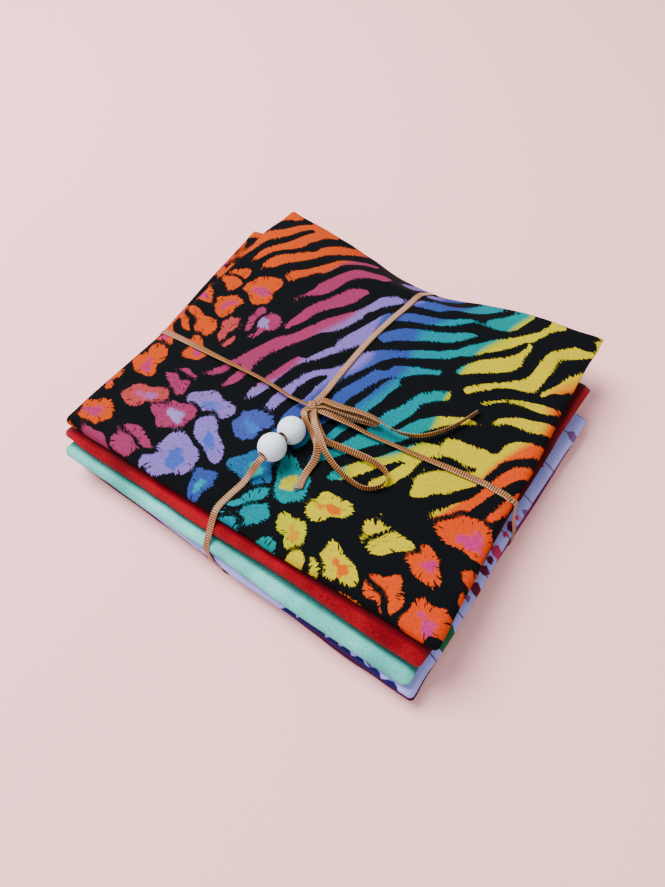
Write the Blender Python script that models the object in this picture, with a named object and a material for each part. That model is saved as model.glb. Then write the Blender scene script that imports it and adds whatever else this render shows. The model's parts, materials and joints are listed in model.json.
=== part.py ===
"""Fat quarter bundle: five folded cotton cloths in a stack, tied with one narrow ribbon.

Every cloth is a strip of three plies, letter-folded: the bottom run and the top flap are
joined by a full-height fold along the front, and the middle run is tucked between them.
The ribbon has two wooden beads on its front strand and ends in a bow with two free tails.

Frame: X along the front folds, Y from front to back, Z up, origin under the middle of the
outline on the surface that the bundle rests on. Sizes are in millimetres until the last
step, which turns them to metres.
"""

import math
from collections import namedtuple

import bpy
import numpy as np
from mathutils import Vector
from mathutils.bvhtree import BVHTree

MM = 0.001

# ---------------------------------------------------------------- driving sizes

LAYER_GAP = 0.42
CLOTH_GAP = 0.5
RIBBON_WIDTH = 3.0
RIBBON_THICKNESS = 0.45
RIBBON_CLEARANCE = 0.56
BEAD_DIAMETER = 12.0
BEAD_BORE = 4.6

# Middle of the finished outline in plan, which becomes the origin.
OUTLINE_MIDDLE = (0.94, 1.13, 0.0)

CROWN_HEIGHT = 1.2
CROWN_HALF_WIDTH = 95.0
CROWN_HALF_DEPTH = 84.0
CORNER_PUFF_HEIGHT = 1.8
CORNER_PUFF_PLACE = (-66.0, 62.0)
CORNER_PUFF_REACH = (30.0, 26.0)

# How far the tie presses the top in along its strands and at the edges, and how far the
# strands under the bundle lift its lowest cloth off the surface.
STRAND_PRESS = 0.7
STRAND_REACH = 15.0
EDGE_PRESS = 0.8
EDGE_REACH = 20.0
UNDER_LIFT = 1.25
UNDER_PLATEAU = 11.0
UNDER_REACH = 42.0
SIDE_PULL = 2.9
SIDE_PULL_PLACE = -14.0
SIDE_PULL_REACH = 44.0

# Where the cloths stray from straight edges: the lower ones bulge out at the front, the top
# ones draw in on the right, the tie draws in the right edges where it crosses them (lowest
# cloths, middle ones and top one), and the top flap's back corners stand out, the left one
# also turned in a little towards the middle.
FRONT_BULGE = 1.7
FRONT_BULGE_PLACE = 0.0
FRONT_BULGE_REACH = 75.0
RIGHT_PULL = 1.5
RIGHT_PULL_PLACE = 42.0
RIGHT_PULL_REACH = 27.0
RIGHT_TIE_PULL = 1.8
RIGHT_TIE_PULL_LOW = 0.9
RIGHT_TIE_PULL_TOP = 0.9
RIGHT_TIE_PLACE = -15.0
RIGHT_TIE_REACH = 24.0
LEFT_CORNER_REACH = 2.2
LEFT_CORNER_SHIFT = 1.4
LEFT_CORNER_PLACE = -91.5
LEFT_CORNER_WITHIN = 9.0
RIGHT_CORNER_REACH = 2.6
RIGHT_CORNER_PLACE = 90.0
RIGHT_CORNER_WITHIN = 11.0

# Small waves of the edges along X and along Y: their size, their length over two pi, and how
# far they shift with height.
WAVES_ALONG_X = ((0.35, 19.0, 0.5),)
WAVES_ALONG_Y = ((0.40, 23.0, 0.7), (0.25, 11.0, -0.4))

# The overhanging back of the top flap hangs down, most where the ribbon crosses it.
FLAP_BEND_START = 69.0
FLAP_BEND_RADIUS = 8.0
FLAP_DROOP_MOST = math.radians(37.0)
FLAP_DROOP_LEAST = math.radians(2.0)
FLAP_DROOP_PLACE = 3.0
FLAP_DROOP_REACH_LEFT = 52.0
FLAP_DROOP_REACH_RIGHT = 35.0

# ---------------------------------------------------------------- the cloths

# One row for each cloth from the bottom up. height is its folded thickness, left and right
# are the ends of its front fold in plan, low_depth and flap_depth the lengths of its bottom
# run and top flap from that fold, and the leans the slant of its side edges in degrees from
# Y, positive towards +X, as (left, right) for the lower layers and for the flap.
Cloth = namedtuple(
    "Cloth",
    "name colour roughness height left right low_depth flap_depth low_leans flap_leans",
)
CLOTHS = (
    Cloth("cloth_plum", (0.145, 0.014, 0.091), 0.85, 4.4, (-89.5, -80.4), (90.5, -90.7),
          153.5, 152.0, (3.3, 3.3), (3.0, 3.3)),
    Cloth("cloth_lilac", (0.55, 0.58, 0.83), 0.85, 4.6, (-89.0, -80.7), (90.2, -91.6),
          152.5, 151.0, (3.3, 3.3), (3.0, 3.3)),
    Cloth("cloth_mint", (0.27, 0.70, 0.60), 0.95, 5.4, (-91.0, -83.2), (86.6, -90.0),
          150.0, 148.0, (1.9, 1.9), (1.9, 1.9)),
    Cloth("cloth_red", (0.48, 0.006, 0.014), 0.95, 5.2, (-93.3, -78.8), (88.2, -83.5),
          152.0, 150.0, (1.2, 2.8), (1.2, 2.5)),
    Cloth("cloth_print", (0.006, 0.010, 0.013), 0.8, 5.2, (-94.2, -75.2), (90.2, -77.0),
          144.5, 167.0, (-1.3, -2.7), (0.7, -0.1)),
)
FULL_HEIGHT = sum(row.height for row in CLOTHS) + CLOTH_GAP * (len(CLOTHS) - 1)

FRONT_ARC_STEPS = 5
BACK_ARC_STEPS = 3

# Every cloth's points lie at the same places, as (x) shares of its width and (y) distances
# behind its front fold. They are closer where the strands lie and where the flap bends.
ACROSS_COUNT = 12
ALONG_COUNT = 10
CLOSER_BY = 2.0
CLOSER_WITHIN = 22.0
STRAND_SHARE = 0.49
STRAND_DISTANCE = 70.0
DEEPEST = 150.0
BEND_DISTANCES = (144.5, 146.5, 148.5, 151.0, 155.0, 160.0)
PLACE_SPACE = 4.0
TUCK_CLEARANCE = 0.8
RIM_ROUNDING = 0.4

# ---------------------------------------------------------------- the tie

# Plan of the strands on top, from the knot to the edge of the bundle.
KNOT = (-2.6, -14.5)
TOP_STRANDS = (
    (KNOT, (-91.2, -11.4)),
    (KNOT, (87.7, -7.0)),
    (KNOT, (2.5, 75.6)),
    (KNOT, (-9.8, -75.5)),
)
EDGE_CROSSINGS = ((-91.2, -11.4), (87.7, -7.0), (-9.8, -75.5))

# Plan of the two strands under the bundle, each across one corner.
UNDER_STRANDS = (
    ((96.0, -12.5), (-3.0, -90.4)),
    ((-92.0, -7.5), (5.0, 72.0)),
)

# A station on a ribbon: its centre, the way its flat face looks, and 1 where it rests on the
# cloths: there it slides along that way until it lies on them.
Station = namedtuple("Station", "x y z nx ny nz rests")


def smooth_step(t):
    """0 below 0, 1 above 1, and 3t^2 - 2t^3 between."""
    t = np.clip(t, 0.0, 1.0)
    return t * t * (3.0 - 2.0 * t)


def spread(start, end, count, middle, within):
    """count + 1 places from start to end, closer together around middle."""
    fine = np.linspace(start, end, 400)
    density = 1.0 + (CLOSER_BY - 1.0) * np.exp(-((fine - middle) / within) ** 2)
    total = np.concatenate([[0.0], np.cumsum(0.5 * (density[1:] + density[:-1]))])
    return np.interp(np.linspace(0.0, total[-1], count + 1), total, fine)


def run_places(start, end):
    """Ends of a flat run and the common places between them."""
    places = spread(0.0, DEEPEST, ALONG_COUNT, STRAND_DISTANCE, CLOSER_WITHIN)
    if end > DEEPEST + 10.0:
        places = np.concatenate([places[places < BEND_DISTANCES[0] - PLACE_SPACE], BEND_DISTANCES])
    inside = places[(places > start + PLACE_SPACE) & (places < end - PLACE_SPACE)]
    return np.concatenate([[start], inside, [end]])


def distance_to_segment(x, y, start, end):
    """Distance in plan from points to the segment between start and end."""
    ax, ay = start
    bx, by = end
    length_squared = (bx - ax) ** 2 + (by - ay) ** 2
    t = ((x - ax) * (bx - ax) + (y - ay) * (by - ay)) / length_squared
    t = np.clip(t, 0.0, 1.0)
    return np.hypot(x - ax - t * (bx - ax), y - ay - t * (by - ay))


def crown(x, y):
    """How much the soft stack swells over its flat height, in the middle and back left."""
    dome_x = np.clip(1.0 - (x / CROWN_HALF_WIDTH) ** 2, 0.0, 1.0)
    dome_y = np.clip(1.0 - (y / CROWN_HALF_DEPTH) ** 2, 0.0, 1.0)
    puff_x = (x - CORNER_PUFF_PLACE[0]) / CORNER_PUFF_REACH[0]
    puff_y = (y - CORNER_PUFF_PLACE[1]) / CORNER_PUFF_REACH[1]
    return CROWN_HEIGHT * dome_x * dome_y + CORNER_PUFF_HEIGHT * np.exp(-puff_x ** 2 - puff_y ** 2)


def press(x, y):
    """How far the tie presses the top down, along its strands and where it goes over the edges."""
    depth = np.zeros_like(x)
    for start, end in TOP_STRANDS:
        along = STRAND_PRESS * np.exp(-(distance_to_segment(x, y, start, end) / STRAND_REACH) ** 2)
        depth = np.maximum(depth, along)
    for place_x, place_y in EDGE_CROSSINGS:
        reach = np.hypot(x - place_x, y - place_y) / EDGE_REACH
        depth = depth + EDGE_PRESS * np.exp(-reach ** 2)
    return depth


def lift(x, y):
    """How far the strands underneath hold the lowest cloth off the surface."""
    height = np.zeros_like(x)
    for start, end in UNDER_STRANDS:
        away = distance_to_segment(x, y, start, end)
        fade = (away - UNDER_PLATEAU) / (UNDER_REACH - UNDER_PLATEAU)
        height = np.maximum(height, UNDER_LIFT * (1.0 - smooth_step(fade)))
    return height


def waves(rows, place, z):
    """Sum of size * sin(place / length + shift * z) over the rows."""
    total = np.zeros_like(place)
    for size, length, shift in rows:
        total = total + size * np.sin(place / length + shift * z)
    return total


def settle(x, y, z):
    """Bring points of the neatly stacked cloths to where they lie in the tied bundle.

    Height: z + crown * z/H + lift * (1 - z/H)^4 - press * (z/H)^4, with H the full height.
    Plan: small waves that shift with height, pulls inwards at the left crossing and on the
    right, a bulge at the front, and the top flap's corners drawn out backwards.
    """
    share = np.clip(z / FULL_HEIGHT, 0.0, 1.2)
    height = z + crown(x, y) * share
    height = height + lift(x, y) * np.clip(1.0 - share, 0.0, 1.0) ** 4
    height = height - press(x, y) * share ** 4
    pull = SIDE_PULL * np.exp(-((y - SIDE_PULL_PLACE) / SIDE_PULL_REACH) ** 2)
    pull = pull * smooth_step((-x - 60.0) / 30.0) * smooth_step(share * 2.0 - 1.0)
    drawn_in = RIGHT_PULL * np.exp(-((y - RIGHT_PULL_PLACE) / RIGHT_PULL_REACH) ** 2)
    drawn_in = drawn_in * smooth_step(share * 2.0 - 0.8)
    tied = RIGHT_TIE_PULL_LOW + (RIGHT_TIE_PULL - RIGHT_TIE_PULL_LOW) * smooth_step(share * 4.0 - 1.2)
    tied = tied + (RIGHT_TIE_PULL_TOP - RIGHT_TIE_PULL) * smooth_step(share * 8.0 - 6.0)
    drawn_in = drawn_in + tied * np.exp(-((y - RIGHT_TIE_PLACE) / RIGHT_TIE_REACH) ** 2)
    pull = pull - drawn_in * smooth_step((x - 50.0) / 40.0)
    bulge = FRONT_BULGE * np.exp(-((x - FRONT_BULGE_PLACE) / FRONT_BULGE_REACH) ** 2)
    bulge = bulge * smooth_step((-y - 30.0) / 45.0) * smooth_step(1.4 - share * 2.0)
    left_corner = (x - LEFT_CORNER_PLACE) / LEFT_CORNER_WITHIN
    right_corner = (x - RIGHT_CORNER_PLACE) / RIGHT_CORNER_WITHIN
    corners = LEFT_CORNER_REACH * np.exp(-left_corner ** 2)
    corners = corners + RIGHT_CORNER_REACH * np.exp(-right_corner ** 2)
    corners = corners * smooth_step((y - 30.0) / 60.0) * smooth_step(share * 5.0 - 3.9)
    tip = LEFT_CORNER_SHIFT * np.exp(-left_corner ** 2) * smooth_step((y - 74.0) / 16.0)
    pull = pull + tip * smooth_step(share * 5.0 - 3.9)
    new_x = x + pull + waves(WAVES_ALONG_X, y, z)
    new_y = y + corners - bulge + waves(WAVES_ALONG_Y, x, z)
    return new_x, new_y, height


# ---------------------------------------------------------------- folded strips

def fold_path(row):
    """Middle line of one letter-folded strip, from the flap's free edge to the tucked end.

    Gives distance behind the front fold, height, the outward normal and the flap's share
    (1 on the flap, 0 on the layers below, passing from one to the other round the fold).
    """
    thickness = (row.height - 2.0 * LAYER_GAP) / 3.0
    nose = row.height / 2.0
    front_radius = (row.height - thickness) / 2.0
    back_radius = (thickness + LAYER_GAP) / 2.0
    back_centre = row.low_depth - back_radius - thickness / 2.0
    back_height = thickness + LAYER_GAP / 2.0
    flap = run_places(nose, row.flap_depth)[::-1]
    bottom = run_places(nose, back_centre)
    tucked = run_places(nose + TUCK_CLEARANCE, back_centre)[::-1]
    front_turn = np.linspace(0.5 * math.pi, 1.5 * math.pi, FRONT_ARC_STEPS + 1)[1:-1]
    back_turn = np.linspace(-0.5 * math.pi, 0.5 * math.pi, BACK_ARC_STEPS + 1)[1:-1]

    def level(run, height, up, share):
        return np.stack([run, np.full_like(run, height), np.zeros_like(run),
                         np.full_like(run, up), np.full_like(run, share)], axis=1)

    def arc(turn, centre, height, radius, share):
        return np.stack([centre + radius * np.cos(turn), height + radius * np.sin(turn),
                         np.cos(turn), np.sin(turn), share], axis=1)

    rows = [
        level(flap, row.height - thickness / 2.0, 1.0, 1.0),
        arc(front_turn, nose, nose, front_radius, 0.5 + 0.5 * np.sin(front_turn)),
        level(bottom, thickness / 2.0, -1.0, 0.0),
        arc(back_turn, back_centre, back_height, back_radius, np.zeros_like(back_turn)),
        level(tucked, 1.5 * thickness + LAYER_GAP, 1.0, 0.0),
    ]
    return np.concatenate(rows), thickness


def droop_angle(x):
    """Slope of the flap's overhang at x: steepest under the ribbon."""
    reach = np.where(x < FLAP_DROOP_PLACE, FLAP_DROOP_REACH_LEFT, FLAP_DROOP_REACH_RIGHT)
    bell = np.exp(-((x - FLAP_DROOP_PLACE) / reach) ** 2)
    return FLAP_DROOP_LEAST + (FLAP_DROOP_MOST - FLAP_DROOP_LEAST) * bell


def plan_direction(leans, u):
    """Unit vector from the front fold backwards, u of the way from the left to the right edge."""
    lean = np.radians(leans[0] + (leans[1] - leans[0]) * u)
    return np.sin(lean), np.cos(lean)


def strip_points(row, base, offset, u):
    """World points of a strip's surface, offset from its middle line, on a path-by-u grid."""
    path, _ = fold_path(row)
    back, height, normal_back, normal_up, share = (column[:, None] for column in path.T)
    low_x, low_y = plan_direction(row.low_leans, u[None, :])
    flap_x, flap_y = plan_direction(row.flap_leans, u[None, :])
    side_x = low_x + (flap_x - low_x) * share
    side_y = low_y + (flap_y - low_y) * share
    front_x = row.left[0] + (row.right[0] - row.left[0]) * u[None, :]
    front_y = row.left[1] + (row.right[1] - row.left[1]) * u[None, :]
    back = back + np.zeros_like(front_x)
    height = height + np.zeros_like(front_x)
    normal_back = normal_back + np.zeros_like(front_x)
    normal_up = normal_up + np.zeros_like(front_x)
    overhang = np.clip(front_y + back * side_y - FLAP_BEND_START, 0.0, None) * (share > 0.99)
    angle = droop_angle(front_x + back * side_x)
    bent = np.minimum(overhang, FLAP_BEND_RADIUS * angle)
    turned = bent / FLAP_BEND_RADIUS
    straight = overhang - bent
    back = back - overhang + FLAP_BEND_RADIUS * np.sin(turned) + straight * np.cos(turned)
    height = height - FLAP_BEND_RADIUS * (1.0 - np.cos(turned)) - straight * np.sin(turned)
    normal_back = normal_back + np.sin(turned)
    normal_up = normal_up * np.cos(turned)
    back = back + offset * normal_back
    height = height + offset * normal_up
    x, y, z = settle(front_x + back * side_x, front_y + back * side_y, base + height)
    return np.stack([x, y, z], axis=-1)


# ---------------------------------------------------------------- meshes and objects

def make_material(name, colour, roughness):
    """Principled material in one colour."""
    material = bpy.data.materials.new(name)
    material.use_nodes = True
    shader = material.node_tree.nodes["Principled BSDF"]
    shader.inputs["Base Color"].default_value = (*colour, 1.0)
    shader.inputs["Roughness"].default_value = roughness
    shader.inputs["Metallic"].default_value = 0.0
    return material


def make_object(name, points, faces, material):
    """Mesh object from points in millimetres, smooth but for its sharp edges."""
    mesh = bpy.data.meshes.new(name)
    mesh.from_pydata(((np.asarray(points) - OUTLINE_MIDDLE) * MM).tolist(), [], faces)
    mesh.validate()
    mesh.materials.append(material)
    mesh.shade_smooth()
    mesh.set_sharp_from_angle(angle=math.radians(40.0))
    part = bpy.data.objects.new(name, mesh)
    bpy.context.scene.collection.objects.link(part)
    return part


def grid_faces(index, flip=False):
    """Two triangles for each cell of a grid of vertex numbers."""
    a = index[:-1, :-1].ravel()
    b = index[1:, :-1].ravel()
    c = index[1:, 1:].ravel()
    d = index[:-1, 1:].ravel()
    first = np.stack([a, b, c], axis=1)
    second = np.stack([a, c, d], axis=1)
    faces = np.concatenate([first, second])
    return faces[:, ::-1] if flip else faces


def thick_sheet(name, outer, inner, rim_left, rim_right, material):
    """Closed solid between two grids of points, with a ridge of points round each side rim."""
    rows, columns, _ = outer.shape
    count = rows * columns
    outer_index = np.arange(count).reshape(rows, columns)
    inner_index = outer_index + count
    left_index = 2 * count + np.arange(rows)
    right_index = left_index + rows
    points = np.concatenate([outer.reshape(-1, 3), inner.reshape(-1, 3), rim_left, rim_right])
    faces = [
        grid_faces(outer_index),
        grid_faces(inner_index, flip=True),
        grid_faces(np.stack([left_index, outer_index[:, 0]], axis=1)),
        grid_faces(np.stack([inner_index[:, 0], left_index], axis=1)),
        grid_faces(np.stack([outer_index[:, -1], right_index], axis=1)),
        grid_faces(np.stack([right_index, inner_index[:, -1]], axis=1)),
    ]
    for end, flip in ((0, False), (-1, True)):
        ring = [left_index[end], *outer_index[end], right_index[end], *inner_index[end][::-1]]
        fan = [[ring[0], ring[1], ring[-1]]]
        fan += [[ring[k], ring[k + 1], ring[-k]] for k in range(1, columns)]
        fan += [[ring[k + 1], ring[-k - 1], ring[-k]] for k in range(1, columns)]
        fan += [[ring[columns], ring[columns + 1], ring[columns + 2]]]
        fan = np.array(fan)
        faces.append(fan[:, ::-1] if flip else fan)
    return make_object(name, points, np.concatenate(faces).tolist(), material)


def make_cloth(row, base):
    """One folded cloth: its strip's outer and inner faces with rounded side edges."""
    _, thickness = fold_path(row)
    half = thickness / 2.0
    width = row.right[0] - row.left[0]
    u = spread(0.0, 1.0, ACROSS_COUNT, STRAND_SHARE, CLOSER_WITHIN / width)
    inset = RIM_ROUNDING * thickness / width
    inner_u = inset + (1.0 - 2.0 * inset) * u
    outer = strip_points(row, base, half, inner_u)
    inner = strip_points(row, base, -half, inner_u)
    rim = strip_points(row, base, 0.0, np.array([0.0, 1.0]))
    material = make_material(row.name, row.colour, row.roughness)
    return thick_sheet(row.name, outer, inner, rim[:, 0], rim[:, 1], material)


# ---------------------------------------------------------------- ribbon

UP = (0.0, 0.0, 1.0)
DOWN = (0.0, 0.0, -1.0)
SAMPLES_PER_SPAN = 2
CAST_REACH = 12.0
SLIDE_WINDOW = 1


def on(x, y, z, normal=UP):
    """Station of a ribbon that rests on the cloths near the given place."""
    return Station(x, y, z, *normal, 1.0)


def at(x, y, z, normal=UP):
    """Station of a ribbon at exactly the given place."""
    return Station(x, y, z, *normal, 0.0)


# Centre of each bead and the run of its bore.
Bead = namedtuple("Bead", "name centre bore_run")
BEAD_FAR = Bead("bead_far", (-2.4, -30.8, 33.4), (-0.10, -1.0, 0.22))
BEAD_NEAR = Bead("bead_near", (-3.4, -42.9, 35.7), (-0.14, -0.99, -0.02))


def threaded(bead, along, above=0.0):
    """Station of a ribbon in a bead: this far along its bore line from the centre, and above it."""
    run = np.array(bead.bore_run) / np.linalg.norm(bead.bore_run)
    return Station(*(np.array(bead.centre) + along * run + above * np.array(UP)), *UP, 0.0)


# Front strand through the beads, over the front folds, under the front right corner and up
# over the right edge to the knot.
FRONT_RIGHT = (
    at(-2.2, -18.4, 31.2, (0.0, 0.2, 1.0)),
    threaded(BEAD_FAR, -7.4, -0.35),
    threaded(BEAD_FAR, -3.5),
    threaded(BEAD_FAR, 0.0, 0.1),
    threaded(BEAD_FAR, 4.6, 0.4),
    threaded(BEAD_NEAR, -4.6, -0.3),
    threaded(BEAD_NEAR, 0.0, 0.1),
    threaded(BEAD_NEAR, 3.5, 0.1),
    threaded(BEAD_NEAR, 6.6, -0.6),
    at(-5.2, -51.6, 33.0, (0.0, -0.6, 1.0)),
    at(-6.5, -55.4, 30.4, (0.0, -0.4, 1.0)),
    on(-7.8, -60.4, 28.4),
    on(-9.0, -66.0, 28.0),
    on(-9.6, -71.0, 27.4),
    on(-9.8, -75.2, 25.4, (0.0, -0.8, 1.0)),
    on(-9.4, -79.2, 21.6, (0.0, -1.0, 0.9)),
    on(-8.6, -82.8, 18.2, (0.0, -1.0, 0.6)),
    on(-7.6, -86.0, 14.4, (0.0, -1.0, 0.4)),
    on(-6.4, -87.6, 10.6, (0.0, -1.0, 0.0)),
    on(-5.0, -88.4, 7.4, (0.0, -1.0, 0.0)),
    on(-3.2, -88.3, 4.0, (0.0, -1.0, -0.1)),
    at(-1.6, -87.8, 1.9, (0.2, -1.0, -0.6)),
    at(1.0, -86.3, 0.6, (0.1, -0.1, -1.0)),
    at(6.0, -83.1, 0.5, DOWN),
    on(13.0, -77.4, 0.3, DOWN),
    on(30.0, -63.6, 0.2, DOWN),
    on(54.0, -44.0, 0.2, DOWN),
    on(76.0, -26.0, 0.2, DOWN),
    on(85.4, -19.2, 0.4, DOWN),
    at(89.8, -16.0, 0.5, DOWN),
    at(92.4, -14.2, 0.4, (0.1, -0.05, -1.0)),
    at(94.8, -13.0, 1.3, (0.8, -0.2, -0.8)),
    on(95.3, -12.4, 3.4, (1.0, 0.0, -0.1)),
    on(95.3, -11.8, 6.0, (1.0, 0.0, 0.1)),
    on(94.9, -11.1, 8.4, (1.0, 0.0, 0.4)),
    at(93.9, -10.5, 11.2, (1.0, 0.0, 0.4)),
    at(92.7, -10.0, 14.0, (1.0, 0.0, 0.4)),
    at(91.7, -9.6, 17.0, (1.0, 0.0, 0.3)),
    at(91.2, -9.2, 20.0, (1.0, 0.0, 0.2)),
    at(90.8, -8.7, 22.6, (1.0, 0.0, 0.3)),
    at(90.4, -8.2, 24.8, (1.0, 0.0, 0.5)),
    at(89.9, -7.8, 26.2, (0.9, 0.0, 0.9)),
    on(88.6, -7.5, 26.9, (0.6, 0.0, 1.0)),
    on(86.4, -7.1, 27.4, (0.2, 0.0, 1.0)),
    on(83.0, -6.8, 27.4),
    on(76.0, -6.9, 28.0),
    on(66.0, -7.9, 28.0),
    on(52.0, -9.7, 28.0),
    on(38.0, -11.0, 28.0),
    on(26.0, -12.0, 28.2),
    at(17.0, -12.7, 29.4),
    at(12.0, -13.4, 30.3),
    at(6.6, -14.1, 31.0),
    at(2.0, -14.6, 31.2),
)

# Left strand from the knot, over the left edge, under the back left corner and up over the
# hanging flap to the knot.
BACK_LEFT = (
    at(-6.6, -14.7, 30.9),
    at(-11.0, -14.3, 30.1),
    on(-17.0, -13.6, 29.0),
    on(-32.0, -12.4, 28.0),
    on(-50.0, -12.2, 28.0),
    on(-69.0, -11.6, 28.0),
    on(-80.0, -11.3, 27.6),
    on(-88.0, -11.1, 27.0),
    on(-91.8, -11.3, 26.8, (-0.5, 0.0, 1.0)),
    on(-94.0, -11.4, 25.4, (-1.0, 0.0, 0.8)),
    on(-95.0, -11.2, 23.4, (-1.0, 0.0, 0.1)),
    at(-95.0, -11.0, 21.2, (-1.0, 0.0, -0.1)),
    at(-94.2, -10.6, 18.4, (-1.0, 0.0, -0.4)),
    at(-91.3, -9.6, 12.8, (-1.0, 0.0, -0.4)),
    at(-89.7, -8.9, 9.4, (-1.0, 0.0, -0.4)),
    at(-88.3, -7.9, 6.6, (-1.0, 0.0, -0.4)),
    at(-87.3, -6.6, 4.2, (-1.0, 0.0, -0.3)),
    at(-86.7, -5.0, 2.3, (-1.0, 0.0, -0.2)),
    at(-86.1, -3.6, 1.1, (-0.7, 0.0, -0.7)),
    at(-84.8, -2.3, 0.6, (-0.1, 0.0, -1.0)),
    at(-82.0, 0.1, 0.5, DOWN),
    on(-76.0, 5.2, 0.3, DOWN),
    on(-62.0, 15.4, 0.2, DOWN),
    on(-38.0, 36.6, 0.2, DOWN),
    on(-16.0, 55.9, 0.3, DOWN),
    on(-6.4, 64.1, 0.4, DOWN),
    at(-1.4, 68.4, 0.5, (-0.05, 0.1, -1.0)),
    at(1.4, 71.0, 1.7, (-0.1, 1.0, -0.7)),
    at(2.8, 72.6, 3.8, (0.0, 1.0, -0.2)),
    at(3.6, 74.2, 6.4, (0.0, 1.0, -0.4)),
    at(4.2, 80.0, 10.0, (0.0, 0.8, -0.9)),
    at(4.4, 86.0, 12.4, (0.0, 0.5, -1.0)),
    at(4.4, 88.8, 14.0, (0.0, 1.0, -0.1)),
    on(4.0, 87.2, 16.4, (0.0, 0.7, 0.9)),
    on(3.6, 83.6, 19.2, (0.0, 0.6, 0.8)),
    on(3.2, 78.8, 22.6, (0.0, 0.6, 0.8)),
    on(2.7, 74.0, 25.4, (0.0, 0.5, 0.9)),
    on(2.3, 69.0, 27.0, (0.0, 0.1, 1.0)),
    on(1.6, 63.0, 27.6),
    on(-0.8, 50.0, 28.0),
    on(-2.9, 34.0, 28.0),
    on(-3.7, 16.0, 28.0),
    on(-3.8, 2.0, 28.4),
    at(-3.5, -4.0, 29.0),
    at(-3.2, -10.2, 30.2),
)

LOOP_LARGE = (
    at(0.9, -19.4, 33.4, (-0.1, -0.4, 0.9)),
    at(3.5, -22.6, 35.2, (0.0, -0.4, 0.9)),
    at(6.1, -25.3, 36.0, (0.0, -0.4, 0.9)),
    at(10.8, -29.2, 36.2, (0.0, -0.5, 0.8)),
    at(14.1, -31.9, 35.5, (-0.1, -0.6, 0.7)),
    at(17.6, -33.7, 33.8, (-0.2, -0.8, 0.6)),
    at(22.5, -35.3, 32.0, (-0.2, -0.9, 0.5)),
    at(28.5, -36.5, 30.7, (0.0, -1.0, 0.35)),
    at(34.9, -37.0, 30.2, (0.3, -1.0, 0.2)),
    at(39.3, -35.1, 30.2, (0.7, -0.7, 0.1)),
    at(41.9, -31.6, 30.3, (1.0, -0.3, 0.0)),
    at(41.8, -27.4, 30.6, (0.9, 0.4, -0.2)),
    at(38.5, -25.3, 30.9, (0.5, 0.9, -0.5)),
    at(32.7, -24.6, 31.2, (0.2, 1.0, -0.7)),
    at(26.7, -25.0, 31.3, (0.1, 1.0, -0.8)),
    at(19.9, -25.6, 31.1, (0.0, 1.0, -0.8)),
    at(14.5, -26.0, 30.6, (-0.1, 1.0, -0.8)),
    at(11.0, -25.8, 30.1, (-0.1, 0.9, -0.9)),
    at(7.6, -23.8, 29.6, (-0.1, 0.6, -1.0)),
    at(4.0, -20.9, 29.5, (-0.1, 0.4, -1.0)),
    at(1.0, -18.4, 29.5, (-0.1, 0.3, -1.0)),
)

LOOP_SMALL = (
    at(2.0, -11.9, 32.4),
    at(7.0, -11.2, 32.6),
    at(13.0, -9.9, 32.4),
    at(18.6, -8.5, 31.9),
    at(23.0, -7.5, 31.4, (0.25, 0.0, 1.0)),
    at(25.8, -7.0, 30.3, (1.0, 0.1, 0.1)),
    at(23.4, -7.4, 29.2, (0.2, 0.0, -1.0)),
    at(18.6, -8.4, 29.0, DOWN),
    at(13.0, -9.7, 29.1, DOWN),
    at(7.0, -10.8, 29.6, DOWN),
    at(2.6, -11.5, 30.0, DOWN),
)

TAIL_SHORT = (
    at(-3.6, -19.3, 32.9, (-0.1, -0.2, 1.0)),
    at(-2.3, -21.5, 33.4, (-0.1, -0.4, 1.0)),
    at(-0.4, -23.4, 33.7, (-0.35, -0.7, 0.7)),
    at(2.1, -24.9, 33.2, (-0.5, -0.8, 0.5)),
    at(4.7, -26.4, 32.8, (-0.4, -0.7, 0.6)),
    at(7.4, -28.1, 32.8, (0.0, -0.5, 0.9)),
    at(10.3, -30.7, 32.0, (0.5, -0.4, 0.8)),
    at(11.9, -33.6, 31.0, (0.5, -0.5, 0.8)),
    at(12.7, -36.7, 30.1, (0.4, -0.5, 0.9)),
    at(12.5, -41.3, 29.2, (0.2, -0.4, 1.0)),
    at(12.8, -45.2, 28.7),
    at(13.9, -50.2, 28.4),
)

TAIL_LONG = (
    at(0.6, -10.8, 33.7, (0.0, 0.2, 1.0)),
    at(5.6, -10.7, 34.5, (0.0, 0.2, 1.0)),
    at(11.2, -9.8, 34.6, (0.0, 0.3, 1.0)),
    at(17.4, -8.3, 34.5, (0.0, 0.4, 1.0)),
    at(23.2, -7.5, 34.0, (0.0, 0.5, 1.0)),
    at(28.8, -7.2, 32.7, (0.0, 0.8, 0.7)),
    at(34.3, -6.8, 31.2, (0.0, 1.0, 0.3)),
    at(39.6, -5.2, 30.5, (-0.3, 1.0, 0.1)),
    at(44.4, -2.4, 30.3, (-0.6, 0.8, 0.0)),
    at(49.8, 3.6, 30.2, (-0.75, 0.65, 0.0)),
    at(54.7, 12.1, 30.1, (-0.85, 0.5, 0.0)),
    at(58.6, 21.8, 30.0, (-0.9, 0.4, 0.0)),
)


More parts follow.
